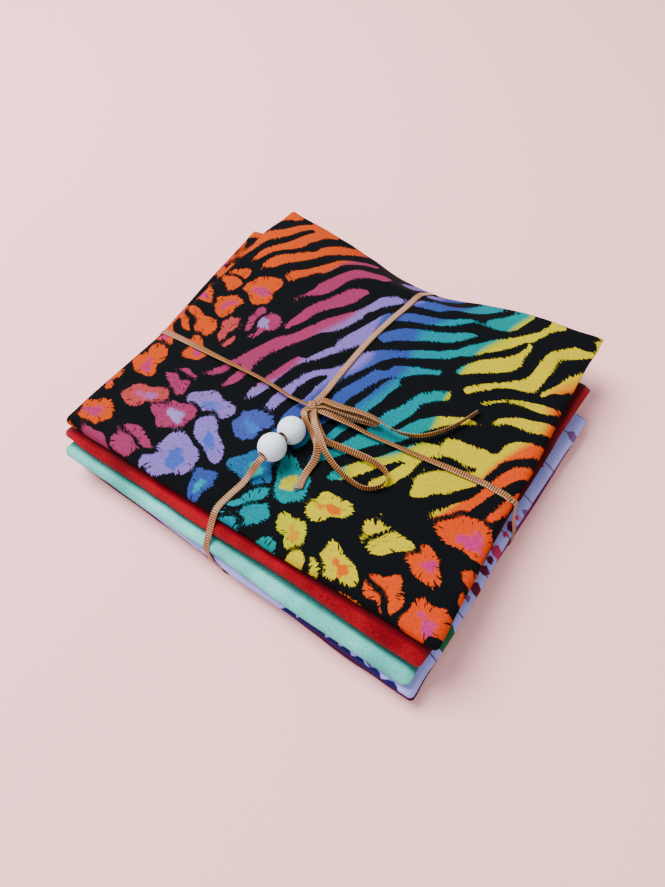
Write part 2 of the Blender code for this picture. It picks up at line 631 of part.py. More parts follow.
def smooth_route(stations):
    """Catmull-Rom curve through the stations, with their other values carried along."""
    points = np.array(stations, float)
    ahead = 2.0 * points[:1] - points[1:2]
    beyond = 2.0 * points[-1:] - points[-2:-1]
    before = np.concatenate([ahead, points, beyond])
    t = np.linspace(0.0, 1.0, SAMPLES_PER_SPAN, endpoint=False)[None, :, None]
    p0 = before[:-3, None, :]
    p1 = before[1:-2, None, :]
    p2 = before[2:-1, None, :]
    p3 = before[3:, None, :]
    curve = 0.5 * (2.0 * p1 + (p2 - p0) * t + (2.0 * p0 - 5.0 * p1 + 4.0 * p2 - p3) * t ** 2
                   + (3.0 * p1 - p0 - 3.0 * p2 + p3) * t ** 3)
    curve = np.concatenate([curve.reshape(-1, 7), points[-1:]])
    return curve[:, :3], curve[:, 3:6], curve[:, 6] > 0.75


def ribbon_frame(path, normal):
    """Unit normal and unit width direction at each point of a route."""
    tangent = np.gradient(path, axis=0)
    tangent /= np.linalg.norm(tangent, axis=1, keepdims=True)
    normal = normal - tangent * np.sum(normal * tangent, axis=1, keepdims=True)
    normal = normal / np.linalg.norm(normal, axis=1, keepdims=True)
    return normal, np.cross(tangent, normal)


def rest_on(cloths, path, normal, side, rests):
    """Slide the resting points of a route along their normals until they lie on the cloths.

    The slide is the largest of its neighbours' and then their mean, as a taut ribbon bridges
    hollows.
    """
    slide = np.zeros(len(path))
    for k in np.flatnonzero(rests):
        reach = -CAST_REACH
        for sideways in (-0.5, 0.0, 0.5):
            start = path[k] + side[k] * sideways * RIBBON_WIDTH + normal[k] * CAST_REACH
            _, _, _, run = cloths.ray_cast(Vector(start), Vector(-normal[k]), 2.0 * CAST_REACH)
            if run is not None:
                reach = max(reach, CAST_REACH - run)
        if reach > -CAST_REACH:
            slide[k] = reach + RIBBON_CLEARANCE + RIBBON_THICKNESS / 2.0
    last = len(path) - 1
    shifts = range(-SLIDE_WINDOW, SLIDE_WINDOW + 1)
    window = [np.clip(np.arange(len(path)) + shift, 0, last) for shift in shifts]
    highest = np.max([np.where(rests[w], slide[w], slide) for w in window], axis=0)
    mean = np.mean([np.where(rests[w], highest[w], highest) for w in window], axis=0)
    return path + normal * np.where(rests, mean, 0.0)[:, None]


def make_ribbon(name, stations, cloths, material):
    """Flat ribbon swept along its route: four edges on a rectangle square to the route."""
    path, way, rests = smooth_route(stations)
    normal, side = ribbon_frame(path, way)
    path = rest_on(cloths, path, normal, side, rests)
    normal, side = ribbon_frame(path, way)
    half_width = RIBBON_WIDTH / 2.0
    half_thickness = RIBBON_THICKNESS / 2.0
    corners = ((1, 1), (-1, 1), (-1, -1), (1, -1))
    rings = [path + a * half_width * side + b * half_thickness * normal for a, b in corners]
    points = np.stack(rings, axis=1)
    count = len(path)
    index = np.arange(count * 4).reshape(count, 4)
    index = np.concatenate([index, index[:, :1]], axis=1)
    first = index[0, :4]
    last = index[-1, :4]
    caps = [first[[0, 1, 2]], first[[0, 2, 3]], last[[0, 2, 1]], last[[0, 3, 2]]]
    faces = np.concatenate([grid_faces(index), np.array(caps)]).tolist()
    return make_object(name, points.reshape(-1, 3), faces, material)


# ---------------------------------------------------------------- knot and beads

KNOT_HALF_SIZES = (3.3, 3.0, 2.1)
KNOT_CENTRE = (-2.7, -14.4, 30.7)
KNOT_RINGS = 6
KNOT_SIDES = 12
BEAD_RINGS = 8
BEAD_SIDES = 14


def ring_solid(name, profile, centre, axis, sides, material):
    """Closed turned solid: a closed profile of (radius, height) turned about axis at centre."""
    axis = np.array(axis, float) / np.linalg.norm(axis)
    first = np.cross(axis, (0.0, 0.0, 1.0))
    first /= np.linalg.norm(first)
    second = np.cross(axis, first)
    turn = np.linspace(0.0, 2.0 * math.pi, sides, endpoint=False)
    radius = np.array([r for r, _ in profile])[:, None, None]
    height = np.array([h for _, h in profile])[:, None, None]
    spoke = np.cos(turn)[:, None] * first + np.sin(turn)[:, None] * second
    points = np.array(centre) + radius * spoke[None] + height * axis
    index = np.arange(len(profile) * sides).reshape(len(profile), sides)
    index = np.concatenate([index, index[:1]])
    index = np.concatenate([index, index[:, :1]], axis=1)
    faces = grid_faces(index, flip=True).tolist()
    return make_object(name, points.reshape(-1, 3), faces, material)


def make_bead(row, material):
    """Wooden ball with a bore for the ribbon."""
    radius = BEAD_DIAMETER / 2.0
    bore = BEAD_BORE / 2.0
    reach = math.acos(bore / radius)
    angles = np.linspace(-reach, reach, BEAD_RINGS + 1)
    profile = [(radius * math.cos(a), radius * math.sin(a)) for a in angles]
    return ring_solid(row.name, profile, row.centre, row.bore_run, BEAD_SIDES, material)


def make_knot(material):
    """Small pillow-shaped knot of wrapped ribbon, flat-sided where it meets the cloth."""
    latitudes = np.linspace(-0.5 * math.pi, 0.5 * math.pi, KNOT_RINGS + 1)[1:-1]
    turn = np.linspace(0.0, 2.0 * math.pi, KNOT_SIDES, endpoint=False)
    ring = np.cos(latitudes)[:, None] ** 0.7
    points = np.stack([ring * np.cos(turn), ring * np.sin(turn),
                       np.sin(latitudes)[:, None] + np.zeros_like(ring * turn)], axis=-1)
    points = np.concatenate([points.reshape(-1, 3), [[0.0, 0.0, -1.0], [0.0, 0.0, 1.0]]])
    points = points * np.array(KNOT_HALF_SIZES) + np.array(KNOT_CENTRE)
    count = len(latitudes)
    index = np.arange(count * KNOT_SIDES).reshape(count, KNOT_SIDES)
    index = np.concatenate([index, index[:, :1]], axis=1)
    south = count * KNOT_SIDES
    faces = grid_faces(index, flip=True).tolist()
    faces += [[int(index[0, k + 1]), int(index[0, k]), south] for k in range(KNOT_SIDES)]
    faces += [[int(index[-1, k]), int(index[-1, k + 1]), south + 1] for k in range(KNOT_SIDES)]
    return make_object("ribbon_knot", points, faces, material)


def cloth_surfaces(cloths):
    """Search tree over the faces of all the cloths, in millimetres."""
    points = []
    faces = []
    for part in cloths:
        start = len(points)
        points += [vertex.co / MM + Vector(OUTLINE_MIDDLE) for vertex in part.data.vertices]
        faces += [[start + v for v in face.vertices] for face in part.data.polygons]
    return BVHTree.FromPolygons(points, faces)


def main():
    """Clear the scene and build every piece."""
    for old in list(bpy.data.objects):
        bpy.data.objects.remove(old, do_unlink=True)
    base = 0.0
    cloths = []
    for row in CLOTHS:
        cloths.append(make_cloth(row, base))
        base += row.height + CLOTH_GAP
    surfaces = cloth_surfaces(cloths)
    ribbon = make_material("ribbon", (0.42, 0.19, 0.075), 0.45)
    make_ribbon("ribbon_front_right", FRONT_RIGHT, surfaces, ribbon)
    make_ribbon("ribbon_back_left", BACK_LEFT, surfaces, ribbon)
    make_ribbon("bow_loop_large", LOOP_LARGE, surfaces, ribbon)
    make_ribbon("bow_loop_small", LOOP_SMALL, surfaces, ribbon)
    make_ribbon("bow_tail_short", TAIL_SHORT, surfaces, ribbon)
    make_ribbon("bow_tail_long", TAIL_LONG, surfaces, ribbon)
    make_knot(ribbon)
    wood = make_material("bead_wood", (0.72, 0.71, 0.68), 0.6)
    make_bead(BEAD_FAR, wood)
    make_bead(BEAD_NEAR, wood)


main()
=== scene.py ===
"""Fat quarter bundle, dressed: five folded cottons, their ribbon, its bow and two beads.

Sizes in the functions are millimetres in the bundle's own plan, X along the front folds and Y
towards the back. They become metres about the origin in one place, `to_world`.
"""

import json
import math
from collections import namedtuple

import bpy
import numpy as np
from mathutils import Matrix, Vector
from mathutils.bvhtree import BVHTree

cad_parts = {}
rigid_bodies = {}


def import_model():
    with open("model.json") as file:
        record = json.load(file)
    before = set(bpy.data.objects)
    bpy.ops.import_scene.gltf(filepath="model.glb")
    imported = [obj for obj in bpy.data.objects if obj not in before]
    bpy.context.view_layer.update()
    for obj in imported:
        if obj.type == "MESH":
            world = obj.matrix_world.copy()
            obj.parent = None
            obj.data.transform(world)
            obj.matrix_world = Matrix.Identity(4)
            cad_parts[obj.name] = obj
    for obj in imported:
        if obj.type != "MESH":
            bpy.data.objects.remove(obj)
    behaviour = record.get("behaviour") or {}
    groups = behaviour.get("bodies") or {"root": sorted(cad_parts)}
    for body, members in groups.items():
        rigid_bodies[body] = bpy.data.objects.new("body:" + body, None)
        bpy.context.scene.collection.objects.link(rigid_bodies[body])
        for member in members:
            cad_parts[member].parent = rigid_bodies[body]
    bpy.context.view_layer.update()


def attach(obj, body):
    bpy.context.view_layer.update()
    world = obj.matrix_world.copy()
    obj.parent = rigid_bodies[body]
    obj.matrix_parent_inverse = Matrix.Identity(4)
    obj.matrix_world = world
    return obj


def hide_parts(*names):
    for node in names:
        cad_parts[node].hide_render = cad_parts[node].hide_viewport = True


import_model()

bl_info = {
    "name": "Fat quarter bundle",
    "version": (1, 0, 0),
    "blender": (4, 5, 0),
    "location": "View3D > Sidebar > Bundle",
    "description": "Folded quilting cottons tied with ribbon and wooden beads",
    "category": "Object",
}

MM = 0.001
OUTLINE_MIDDLE = np.array([0.94, 1.13, 0.0])

# ---------------------------------------------------------------- sizes shared with the solids

LAYER_GAP = 0.42
CLOTH_GAP = 0.5
RIBBON_WIDTH = 3.0
BEAD_DIAMETER = 12.0
BEAD_BORE = 4.6

# How the stack swells, and how the tie presses it down along its strands and at the edges.
CROWN_HEIGHT = 1.2
CROWN_HALF_WIDTH = 95.0
CROWN_HALF_DEPTH = 84.0
CORNER_PUFF_HEIGHT = 1.8
CORNER_PUFF_PLACE = (-66.0, 62.0)
CORNER_PUFF_REACH = (30.0, 26.0)
STRAND_PRESS = 0.7
STRAND_REACH = 15.0
STRAND_GROOVE = 0.45
STRAND_GROOVE_REACH = 3.6
EDGE_PRESS = 0.8
EDGE_REACH = 20.0
EDGE_GROOVE = 0.5
EDGE_GROOVE_REACH = 6.0
UNDER_LIFT = 1.25
UNDER_PLATEAU = 11.0
UNDER_REACH = 42.0

# Where the sides are pulled in, and how far. Spans set in or out smoothly: ACROSS, FORWARD and
# BACK in millimetres outwards, UP as shares of the full height.
SIDE_PULL = 2.9
SIDE_PULL_REACH = 44.0
SIDE_PULL_PLACE = -14.0
SIDE_PULL_ACROSS = (60.0, 90.0)
SIDE_PULL_UP = (0.5, 1.0)
FRONT_BULGE = 1.7
FRONT_BULGE_PLACE = 0.0
FRONT_BULGE_REACH = 75.0
FRONT_BULGE_FORWARD = (30.0, 75.0)
FRONT_BULGE_UP = (0.7, 0.2)
RIGHT_PULL = 1.5
RIGHT_PULL_PLACE = 42.0
RIGHT_PULL_REACH = 27.0
RIGHT_PULL_ACROSS = (50.0, 90.0)
RIGHT_PULL_UP = (0.4, 0.9)
RIGHT_TIE_UP = (0.3, 0.55)
RIGHT_TIE_TOP_UP = (0.75, 0.875)
RIGHT_TIE_PULL = 1.8
RIGHT_TIE_PULL_LOW = 0.9
RIGHT_TIE_PULL_TOP = 0.9
RIGHT_TIE_PLACE = -15.0
RIGHT_TIE_REACH = 24.0

# How far the top flap's back corners are drawn out.
CORNERS_BACK = (30.0, 90.0)
CORNERS_UP = (0.78, 0.98)
LEFT_CORNER_REACH = 2.2
LEFT_CORNER_SHIFT = 1.4
LEFT_CORNER_PLACE = -91.5
LEFT_CORNER_WITHIN = 9.0
LEFT_CORNER_BACK = (74.0, 90.0)
RIGHT_CORNER_REACH = 2.6
RIGHT_CORNER_PLACE = 90.0
RIGHT_CORNER_WITHIN = 11.0

# Waves of the sides (size, length, shift with height) and noise (size, cell, seed).
WAVES_ALONG_X = ((0.35, 19.0, 0.5),)
WAVES_ALONG_Y = ((0.40, 23.0, 0.7), (0.25, 11.0, -0.4))
UNEVEN_TOP = ((0.55, 34.0, 5), (0.22, 13.0, 6))
UNEVEN_FROM = (3.0, 13.0)
UNEVEN_SIDES = ((0.25, 9.0, 8),)
UNEVEN_ENDS = ((0.25, 8.0, 9),)

# The bend of the top flap's overhang.
FLAP_BEND_START = 69.0
FLAP_BEND_RADIUS = 8.0
FLAP_DROOP_MOST = math.radians(37.0)
FLAP_DROOP_LEAST = math.radians(2.0)
FLAP_DROOP_PLACE = 3.0
FLAP_DROOP_REACH_LEFT = 52.0
FLAP_DROOP_REACH_RIGHT = 35.0
TUCK_CLEARANCE = 0.8

# Soft ridges and troughs of the top cloth: both ends of each, height and reach.
CREASES = (
    ((-84.0, 66.0), (-40.0, 38.0), 0.8, 6.0),
    ((-74.0, 34.0), (-34.0, 12.0), -0.5, 5.0),
    ((26.0, 74.0), (50.0, 34.0), 0.7, 6.0),
    ((58.0, 66.0), (80.0, 40.0), -0.5, 5.0),
    ((58.0, -30.0), (84.0, -64.0), 0.6, 6.0),
    ((20.0, -62.0), (56.0, -50.0), -0.4, 5.0),
    ((-86.0, -60.0), (-52.0, -36.0), 0.5, 6.0),
)

# One row for each cloth from the bottom up, as in the solids, then the thickness of one ply, how
# many grid steps go across a ply and along the flap, and how far the lower layers' ends lie in.
Cloth = namedtuple(
    "Cloth",
    "node slot height left right low_depth flap_depth low_leans flap_leans ply across along inset",
)
CLOTHS = (
    Cloth("cloth_plum", "plum_cotton", 4.4, (-89.5, -80.4), (90.5, -90.7),
          153.5, 152.0, (3.3, 3.3), (3.0, 3.3), 0.38, 60, 50, (1.6, 1.6)),
    Cloth("cloth_lilac", "lilac_cotton", 4.6, (-89.0, -80.7), (90.2, -91.6),
          152.5, 151.0, (3.3, 3.3), (3.0, 3.3), 0.40, 90, 100, (1.8, 1.8)),
    Cloth("cloth_mint", "mint_flannel", 5.4, (-91.0, -83.2), (86.6, -90.0),
          150.0, 148.0, (1.9, 1.9), (1.9, 1.9), 0.50, 60, 50, (2.0, 2.0)),
    Cloth("cloth_red", "red_cotton", 5.2, (-93.3, -78.8), (88.2, -83.5),
          152.0, 150.0, (1.2, 2.8), (1.2, 2.5), 0.47, 60, 50, (2.0, 2.0)),
    Cloth("cloth_print", "print_cotton", 5.2, (-94.2, -75.2), (90.2, -77.0),
          144.5, 167.0, (-1.3, -2.7), (0.7, -0.1), 0.46, 140, 125, (0.2, 1.6)),
)
FULL_HEIGHT = sum(row.height for row in CLOTHS) + CLOTH_GAP * (len(CLOTHS) - 1)
FLOOR_RISE = 0.12

# Grid points of a folded strip and of its plies, and the room that a ply leaves at its turns.
LEAST_ALONG = 25
FRONT_TURN_POINTS = 17
BACK_TURN_POINTS = 11
PLY_TURN_POINTS = 7
PLY_GAP = 0.8 * LAYER_GAP
PLY_START = 0.9
PLY_RIGHT_ROOM = 0.2
PLY_LEFT_ROOM = 0.6
PLY_SHORT = 1.6
# The flaps' side edges turn down. The overhanging flap stays flat at the back right, and its left
# side is drawn in at the back.
ROLL_ANGLE = math.radians(72.0)
ROLL_RADIUS_SHARE = 0.50
ROLL_ON_FLAP = (0.375, 1.0)
FLAP_FLAT_BACK = (38.0, 64.0)
FLAP_FLAT_ACROSS = (0.25, 0.75)
FLAP_LEFT_PEEP = 2.8
FLAP_PEEP_BACK = (0.0, 45.0)
# The shade under the next cloth reaches this far before its fold and beside it.
SHADE_FRONT = 4.0
SHADE_SIDE = 2.0
SHADE_RIGHT_ROOM = 1.5

# Lines of the tie in plan.
KNOT = (-2.6, -14.5)
TOP_STRANDS = (
    (KNOT, (-91.2, -11.4)),
    (KNOT, (87.7, -7.0)),
    (KNOT, (2.5, 75.6)),
    (KNOT, (-9.8, -75.5)),
)
EDGE_CROSSINGS = ((-91.2, -11.4), (87.7, -7.0), (-9.8, -75.5))
UNDER_STRANDS = (
    ((96.0, -12.5), (-3.0, -90.4)),
    ((-92.0, -7.5), (5.0, 72.0)),
)

# A place on a ribbon's route: the point, the way its face looks, and 1 where it rests.
Station = namedtuple("Station", "x y z nx ny nz rests")
UP = (0.0, 0.0, 1.0)
DOWN = (0.0, 0.0, -1.0)


def on(x, y, z, normal=UP):
    """Station of a ribbon that rests on the cloths near the given place."""
    return Station(x, y, z, *normal, 1.0)


def at(x, y, z, normal=UP):
    """Station of a ribbon at exactly the given place."""
    return Station(x, y, z, *normal, 0.0)


Bead = namedtuple("Bead", "name centre bore_run")
BEAD_FAR = Bead("bead_far", (-2.4, -30.8, 33.4), (-0.10, -1.0, 0.22))
BEAD_NEAR = Bead("bead_near", (-3.4, -42.9, 35.7), (-0.14, -0.99, -0.02))


def threaded(bead, along, above=0.0):
    """Station of a ribbon in a bead: this far along its bore line from the centre, and above it."""
    run = np.array(bead.bore_run) / np.linalg.norm(bead.bore_run)
    return Station(*(np.array(bead.centre) + along * run + above * np.array(UP)), *UP, 0.0)


FRONT_RIGHT = (
    at(-2.4, -15.6, 30.9),
    at(-2.2, -18.4, 31.2, (0.0, 0.2, 1.0)),
    threaded(BEAD_FAR, -7.4, -0.35),
    threaded(BEAD_FAR, -3.5),
    threaded(BEAD_FAR, 0.0, 0.1),
    threaded(BEAD_FAR, 4.6, 0.4),
    threaded(BEAD_NEAR, -4.6, -0.3),
    threaded(BEAD_NEAR, 0.0, 0.1),
    threaded(BEAD_NEAR, 3.5, 0.1),
    threaded(BEAD_NEAR, 6.6, -0.6),
    at(-5.2, -51.6, 33.0, (0.0, -0.6, 1.0)),
    at(-6.5, -55.4, 30.4, (0.0, -0.4, 1.0)),
    on(-7.8, -60.4, 28.4),
    on(-9.0, -66.0, 28.0),
    on(-9.6, -71.0, 27.4),
    on(-9.8, -75.2, 25.4, (0.0, -0.8, 1.0)),
    on(-9.4, -79.2, 21.6, (0.0, -1.0, 0.9)),
    on(-8.6, -82.8, 18.2, (0.0, -1.0, 0.6)),
    on(-7.6, -86.0, 14.4, (0.0, -1.0, 0.4)),
    on(-6.4, -87.6, 10.6, (0.0, -1.0, 0.0)),
    on(-5.0, -88.4, 7.4, (0.0, -1.0, 0.0)),
    on(-3.2, -88.3, 4.0, (0.0, -1.0, -0.1)),
    at(-1.6, -87.8, 1.9, (0.2, -1.0, -0.6)),
    at(1.0, -86.3, 0.6, (0.1, -0.1, -1.0)),
    at(6.0, -83.1, 0.5, DOWN),
    on(13.0, -77.4, 0.3, DOWN),
    on(30.0, -63.6, 0.2, DOWN),
    on(54.0, -44.0, 0.2, DOWN),
    on(76.0, -26.0, 0.2, DOWN),
    on(85.4, -19.2, 0.4, DOWN),
    at(89.8, -16.0, 0.5, DOWN),
    at(92.4, -14.2, 0.4, (0.1, -0.05, -1.0)),
    at(94.8, -13.0, 1.3, (0.8, -0.2, -0.8)),
    on(95.3, -12.4, 3.4, (1.0, 0.0, -0.1)),
    on(95.3, -11.8, 6.0, (1.0, 0.0, 0.1)),
    on(94.9, -11.1, 8.4, (1.0, 0.0, 0.4)),
    at(93.9, -10.5, 11.2, (1.0, 0.0, 0.4)),
    at(92.7, -10.0, 14.0, (1.0, 0.0, 0.4)),
    at(91.7, -9.6, 17.0, (1.0, 0.0, 0.3)),
    at(91.2, -9.2, 20.0, (1.0, 0.0, 0.2)),
    at(90.8, -8.7, 22.6, (1.0, 0.0, 0.3)),
    at(90.4, -8.2, 24.8, (1.0, 0.0, 0.5)),
    at(89.9, -7.8, 26.2, (0.9, 0.0, 0.9)),
    on(88.6, -7.5, 26.9, (0.6, 0.0, 1.0)),
    on(86.4, -7.1, 27.4, (0.2, 0.0, 1.0)),
    on(83.0, -6.8, 27.4),
    on(76.0, -6.9, 28.0),
    on(66.0, -7.9, 28.0, (0.0, 0.1, 1.0)),
    on(52.0, -9.7, 28.0, (0.0, 0.3, 0.95)),
    on(38.0, -11.0, 28.0, (0.0, 0.5, 0.86)),
    on(26.0, -12.0, 28.2, (0.0, 0.5, 0.86)),
    at(17.0, -12.7, 29.4, (0.0, 0.4, 0.9)),
    at(12.0, -13.4, 30.3, (0.0, 0.2, 1.0)),
    at(6.6, -14.1, 31.0),
    at(2.0, -14.6, 31.2),
    at(-1.4, -14.8, 31.0),
)

BACK_LEFT = (
    at(-3.6, -14.6, 31.0, (0.0, 0.6, 0.8)),
    at(-6.6, -14.7, 30.9, (0.0, 0.6, 0.8)),
    at(-11.0, -14.3, 30.1, (0.0, 0.6, 0.8)),
    on(-17.0, -13.6, 29.0, (0.0, 0.6, 0.8)),
    on(-32.0, -12.4, 28.0, (0.0, 0.55, 0.83)),
    on(-50.0, -12.2, 28.0, (0.0, 0.45, 0.9)),
    on(-69.0, -11.6, 28.0, (0.0, 0.15, 1.0)),
    on(-80.0, -11.3, 27.6),
    on(-88.0, -11.1, 27.0),
    on(-91.8, -11.3, 26.8, (-0.5, 0.0, 1.0)),
    on(-94.0, -11.4, 25.4, (-1.0, 0.0, 0.8)),
    on(-95.0, -11.2, 23.4, (-1.0, 0.0, 0.1)),
    at(-95.0, -11.0, 21.2, (-1.0, 0.0, -0.1)),
    at(-94.2, -10.6, 18.4, (-1.0, 0.0, -0.4)),
    at(-91.3, -9.6, 12.8, (-1.0, 0.0, -0.4)),
    at(-89.7, -8.9, 9.4, (-1.0, 0.0, -0.4)),
    at(-88.3, -7.9, 6.6, (-1.0, 0.0, -0.4)),
    at(-87.3, -6.6, 4.2, (-1.0, 0.0, -0.3)),
    at(-86.7, -5.0, 2.3, (-1.0, 0.0, -0.2)),
    at(-86.1, -3.6, 1.1, (-0.7, 0.0, -0.7)),
    at(-84.8, -2.3, 0.6, (-0.1, 0.0, -1.0)),
    at(-82.0, 0.1, 0.5, DOWN),
    on(-76.0, 5.2, 0.3, DOWN),
    on(-62.0, 15.4, 0.2, DOWN),
    on(-38.0, 36.6, 0.2, DOWN),
    on(-16.0, 55.9, 0.3, DOWN),
    on(-6.4, 64.1, 0.4, DOWN),
    at(-1.4, 68.4, 0.5, (-0.05, 0.1, -1.0)),
    at(1.4, 71.0, 1.7, (-0.1, 1.0, -0.7)),
    at(2.8, 72.6, 3.8, (0.0, 1.0, -0.2)),
    at(3.6, 74.2, 6.4, (0.0, 1.0, -0.4)),
    at(4.2, 80.0, 10.0, (0.0, 0.8, -0.9)),
    at(4.4, 86.0, 12.4, (0.0, 0.5, -1.0)),
    at(4.4, 88.8, 14.0, (0.0, 1.0, -0.1)),
    on(4.0, 87.2, 16.4, (0.0, 0.7, 0.9)),
    on(3.6, 83.6, 19.2, (0.0, 0.6, 0.8)),
    on(3.2, 78.8, 22.6, (0.0, 0.6, 0.8)),
    on(2.7, 74.0, 25.4, (0.0, 0.5, 0.9)),
    on(2.3, 69.0, 27.0, (0.0, 0.1, 1.0)),
    on(1.6, 63.0, 27.6),
    on(-0.8, 50.0, 28.0),
    on(-2.9, 34.0, 28.0),
    on(-3.7, 16.0, 28.0),
    on(-3.8, 2.0, 28.4),
    at(-3.5, -4.0, 29.0),
    at(-3.2, -10.2, 30.2),
    at(-2.9, -13.0, 30.8),
)

LOOP_LARGE = (
    at(-1.2, -16.2, 31.6, (-0.1, -0.4, 0.9)),
    at(0.9, -19.4, 33.4, (-0.1, -0.4, 0.9)),
    at(3.5, -22.6, 35.2, (0.0, -0.4, 0.9)),
    at(6.1, -25.3, 36.0, (0.0, -0.4, 0.9)),
    at(10.8, -29.2, 36.2, (0.0, -0.5, 0.8)),
    at(14.1, -31.9, 35.5, (-0.1, -0.6, 0.7)),
    at(17.6, -33.7, 33.8, (-0.2, -0.8, 0.6)),
    at(22.5, -35.3, 32.0, (-0.2, -0.9, 0.5)),
    at(28.5, -36.5, 30.7, (0.0, -1.0, 0.35)),
    at(34.9, -37.0, 30.2, (0.3, -1.0, 0.2)),
    at(39.3, -35.1, 30.2, (0.7, -0.7, 0.1)),
    at(41.9, -31.6, 30.3, (1.0, -0.3, 0.0)),
    at(41.8, -27.4, 30.6, (0.9, 0.4, -0.2)),
    at(38.5, -25.3, 30.9, (0.5, 0.9, -0.5)),
    at(32.7, -24.6, 31.2, (0.2, 1.0, -0.7)),
    at(26.7, -25.0, 31.3, (0.1, 1.0, -0.8)),
    at(19.9, -25.6, 31.1, (0.0, 1.0, -0.8)),
    at(14.5, -26.0, 30.6, (-0.1, 1.0, -0.8)),
    at(11.0, -25.8, 30.1, (-0.1, 0.9, -0.9)),
    at(7.6, -23.8, 29.6, (-0.1, 0.6, -1.0)),
    at(4.0, -20.9, 29.5, (-0.1, 0.4, -1.0)),
    at(1.0, -18.4, 29.5, (-0.1, 0.3, -1.0)),
    at(-1.2, -15.8, 29.9, (-0.1, 0.3, -1.0)),
)

LOOP_SMALL = (
    at(-1.2, -13.4, 31.7),
    at(2.0, -11.9, 32.4),
    at(7.0, -11.2, 32.6),
    at(13.0, -9.9, 32.4),
    at(18.6, -8.5, 31.9),
    at(23.0, -7.5, 31.4, (0.25, 0.0, 1.0)),
    at(25.8, -7.0, 30.3, (1.0, 0.1, 0.1)),
    at(23.4, -7.4, 29.2, (0.2, 0.0, -1.0)),
    at(18.6, -8.4, 29.0, DOWN),
    at(13.0, -9.7, 29.1, DOWN),
    at(7.0, -10.8, 29.6, DOWN),
    at(2.6, -11.5, 30.0, DOWN),
    at(-0.8, -13.2, 30.4, DOWN),
)

TAIL_SHORT = (
    at(-3.4, -16.4, 31.6, (-0.1, -0.2, 1.0)),
    at(-3.6, -19.3, 32.9, (-0.1, -0.2, 1.0)),
    at(-2.3, -21.5, 33.4, (-0.1, -0.4, 1.0)),
    at(-0.4, -23.4, 33.7, (-0.35, -0.7, 0.7)),
    at(2.1, -24.9, 33.2, (-0.5, -0.8, 0.5)),
    at(4.7, -26.4, 32.8, (-0.4, -0.7, 0.6)),
    at(7.4, -28.1, 32.8, (0.0, -0.5, 0.9)),
    at(10.3, -30.7, 32.0, (0.5, -0.4, 0.8)),
    at(11.9, -33.6, 31.0, (0.5, -0.5, 0.8)),
    at(12.7, -36.7, 30.1, (0.4, -0.5, 0.9)),
    at(12.5, -41.3, 29.2, (0.2, -0.4, 1.0)),
    at(12.8, -45.2, 28.7),
    at(13.9, -50.2, 28.4),
)

TAIL_LONG = (
    at(-1.6, -12.4, 32.2, (0.0, 0.2, 1.0)),
    at(0.6, -10.8, 33.7, (0.0, 0.2, 1.0)),
    at(5.6, -10.7, 34.5, (0.0, 0.2, 1.0)),
    at(11.2, -9.8, 34.6, (0.0, 0.3, 1.0)),
    at(17.4, -8.3, 34.5, (0.0, 0.4, 1.0)),
    at(23.2, -7.5, 34.0, (0.0, 0.5, 1.0)),
    at(28.8, -7.2, 32.7, (0.0, 0.8, 0.7)),
    at(34.3, -6.8, 31.2, (0.0, 1.0, 0.3)),
    at(39.6, -5.2, 30.5, (-0.3, 1.0, 0.1)),
    at(44.4, -2.4, 30.3, (-0.6, 0.8, 0.0)),
    at(49.8, 3.6, 30.2, (-0.75, 0.65, 0.0)),
    at(54.7, 12.1, 30.1, (-0.85, 0.5, 0.0)),
    at(58.6, 21.8, 30.0, (-0.9, 0.4, 0.0)),
)

# ---------------------------------------------------------------- settings


def colour_setting(name, default, description):
    """Setting for a colour, as an sRGB hex value."""
    return bpy.props.StringProperty(name=name, description=description, default=default)


def length_setting(name, default, description):
    """Setting for a length in metres."""
    return bpy.props.FloatProperty(
        name=name, description=description, default=default, unit="LENGTH", subtype="DISTANCE")


class BundleClothSettings(bpy.types.PropertyGroup):
    """Colours of the cloths."""

    ground: colour_setting("Print ground", "#07090c", "Ground of the print")
    red: colour_setting("Red", "#8a0014", "Brushed red cotton")
    mint: colour_setting("Mint", "#66c8c0", "Mint flannel")
    lilac: colour_setting("Lilac", "#a4a4f0", "Ground of the lilac print")
    plum: colour_setting("Plum", "#6a1c58", "Plum cotton")


class BundleRibbonSettings(bpy.types.PropertyGroup):
    """Size and colour of the ribbon."""

    thickness: length_setting("Thickness", 0.0003, "Ribbon thickness")
    rib_pitch: length_setting("Rib pitch", 0.00100, "Distance between cross ribs")
    colour: colour_setting("Colour", "#b87434", "Copper satin yarn")


class BundleStageSettings(bpy.types.PropertyGroup):
    """Floor and light."""

    floor: colour_setting("Floor", "#ffbcbc", "Floor colour")
    key_power: bpy.props.FloatProperty(
        name="Key light", description="Power of the large soft light", default=30.0, unit="POWER")
    sky: bpy.props.FloatProperty(name="Sky", description="Strength of the even light", default=0.66)


# ---------------------------------------------------------------- helpers


def to_world(points):
    """Bundle millimetres to metres about the origin."""
    return (np.asarray(points, float) - OUTLINE_MIDDLE) * MM


def unit(vector):
    """Vector, or each of the vectors in an array's rows, at length 1."""
    vector = np.asarray(vector, float)
    return vector / np.linalg.norm(vector, axis=-1, keepdims=True)


def smooth_step(t):
    """0 below 0, 1 above 1, and 3t^2 - 2t^3 between."""
    t = np.clip(t, 0.0, 1.0)
    return t * t * (3.0 - 2.0 * t)


def ramp(value, span):
    """Smooth step from 0 at the span's first end to 1 at its last; the first may be the higher."""
    return smooth_step((value - span[0]) / (span[1] - span[0]))


def fall_off(away, reach):
    """exp(-(away / reach)^2)."""
    return np.exp(-(away / reach) ** 2)


def running_length(*steps):
    """Length from the first point to each, from the steps between them along each axis."""
    return np.concatenate([[0.0], np.cumsum(np.sqrt(sum(step ** 2 for step in steps)))])


NOISE_CELLS = 64
NOISE_SHIFT = (17.0, 23.0)


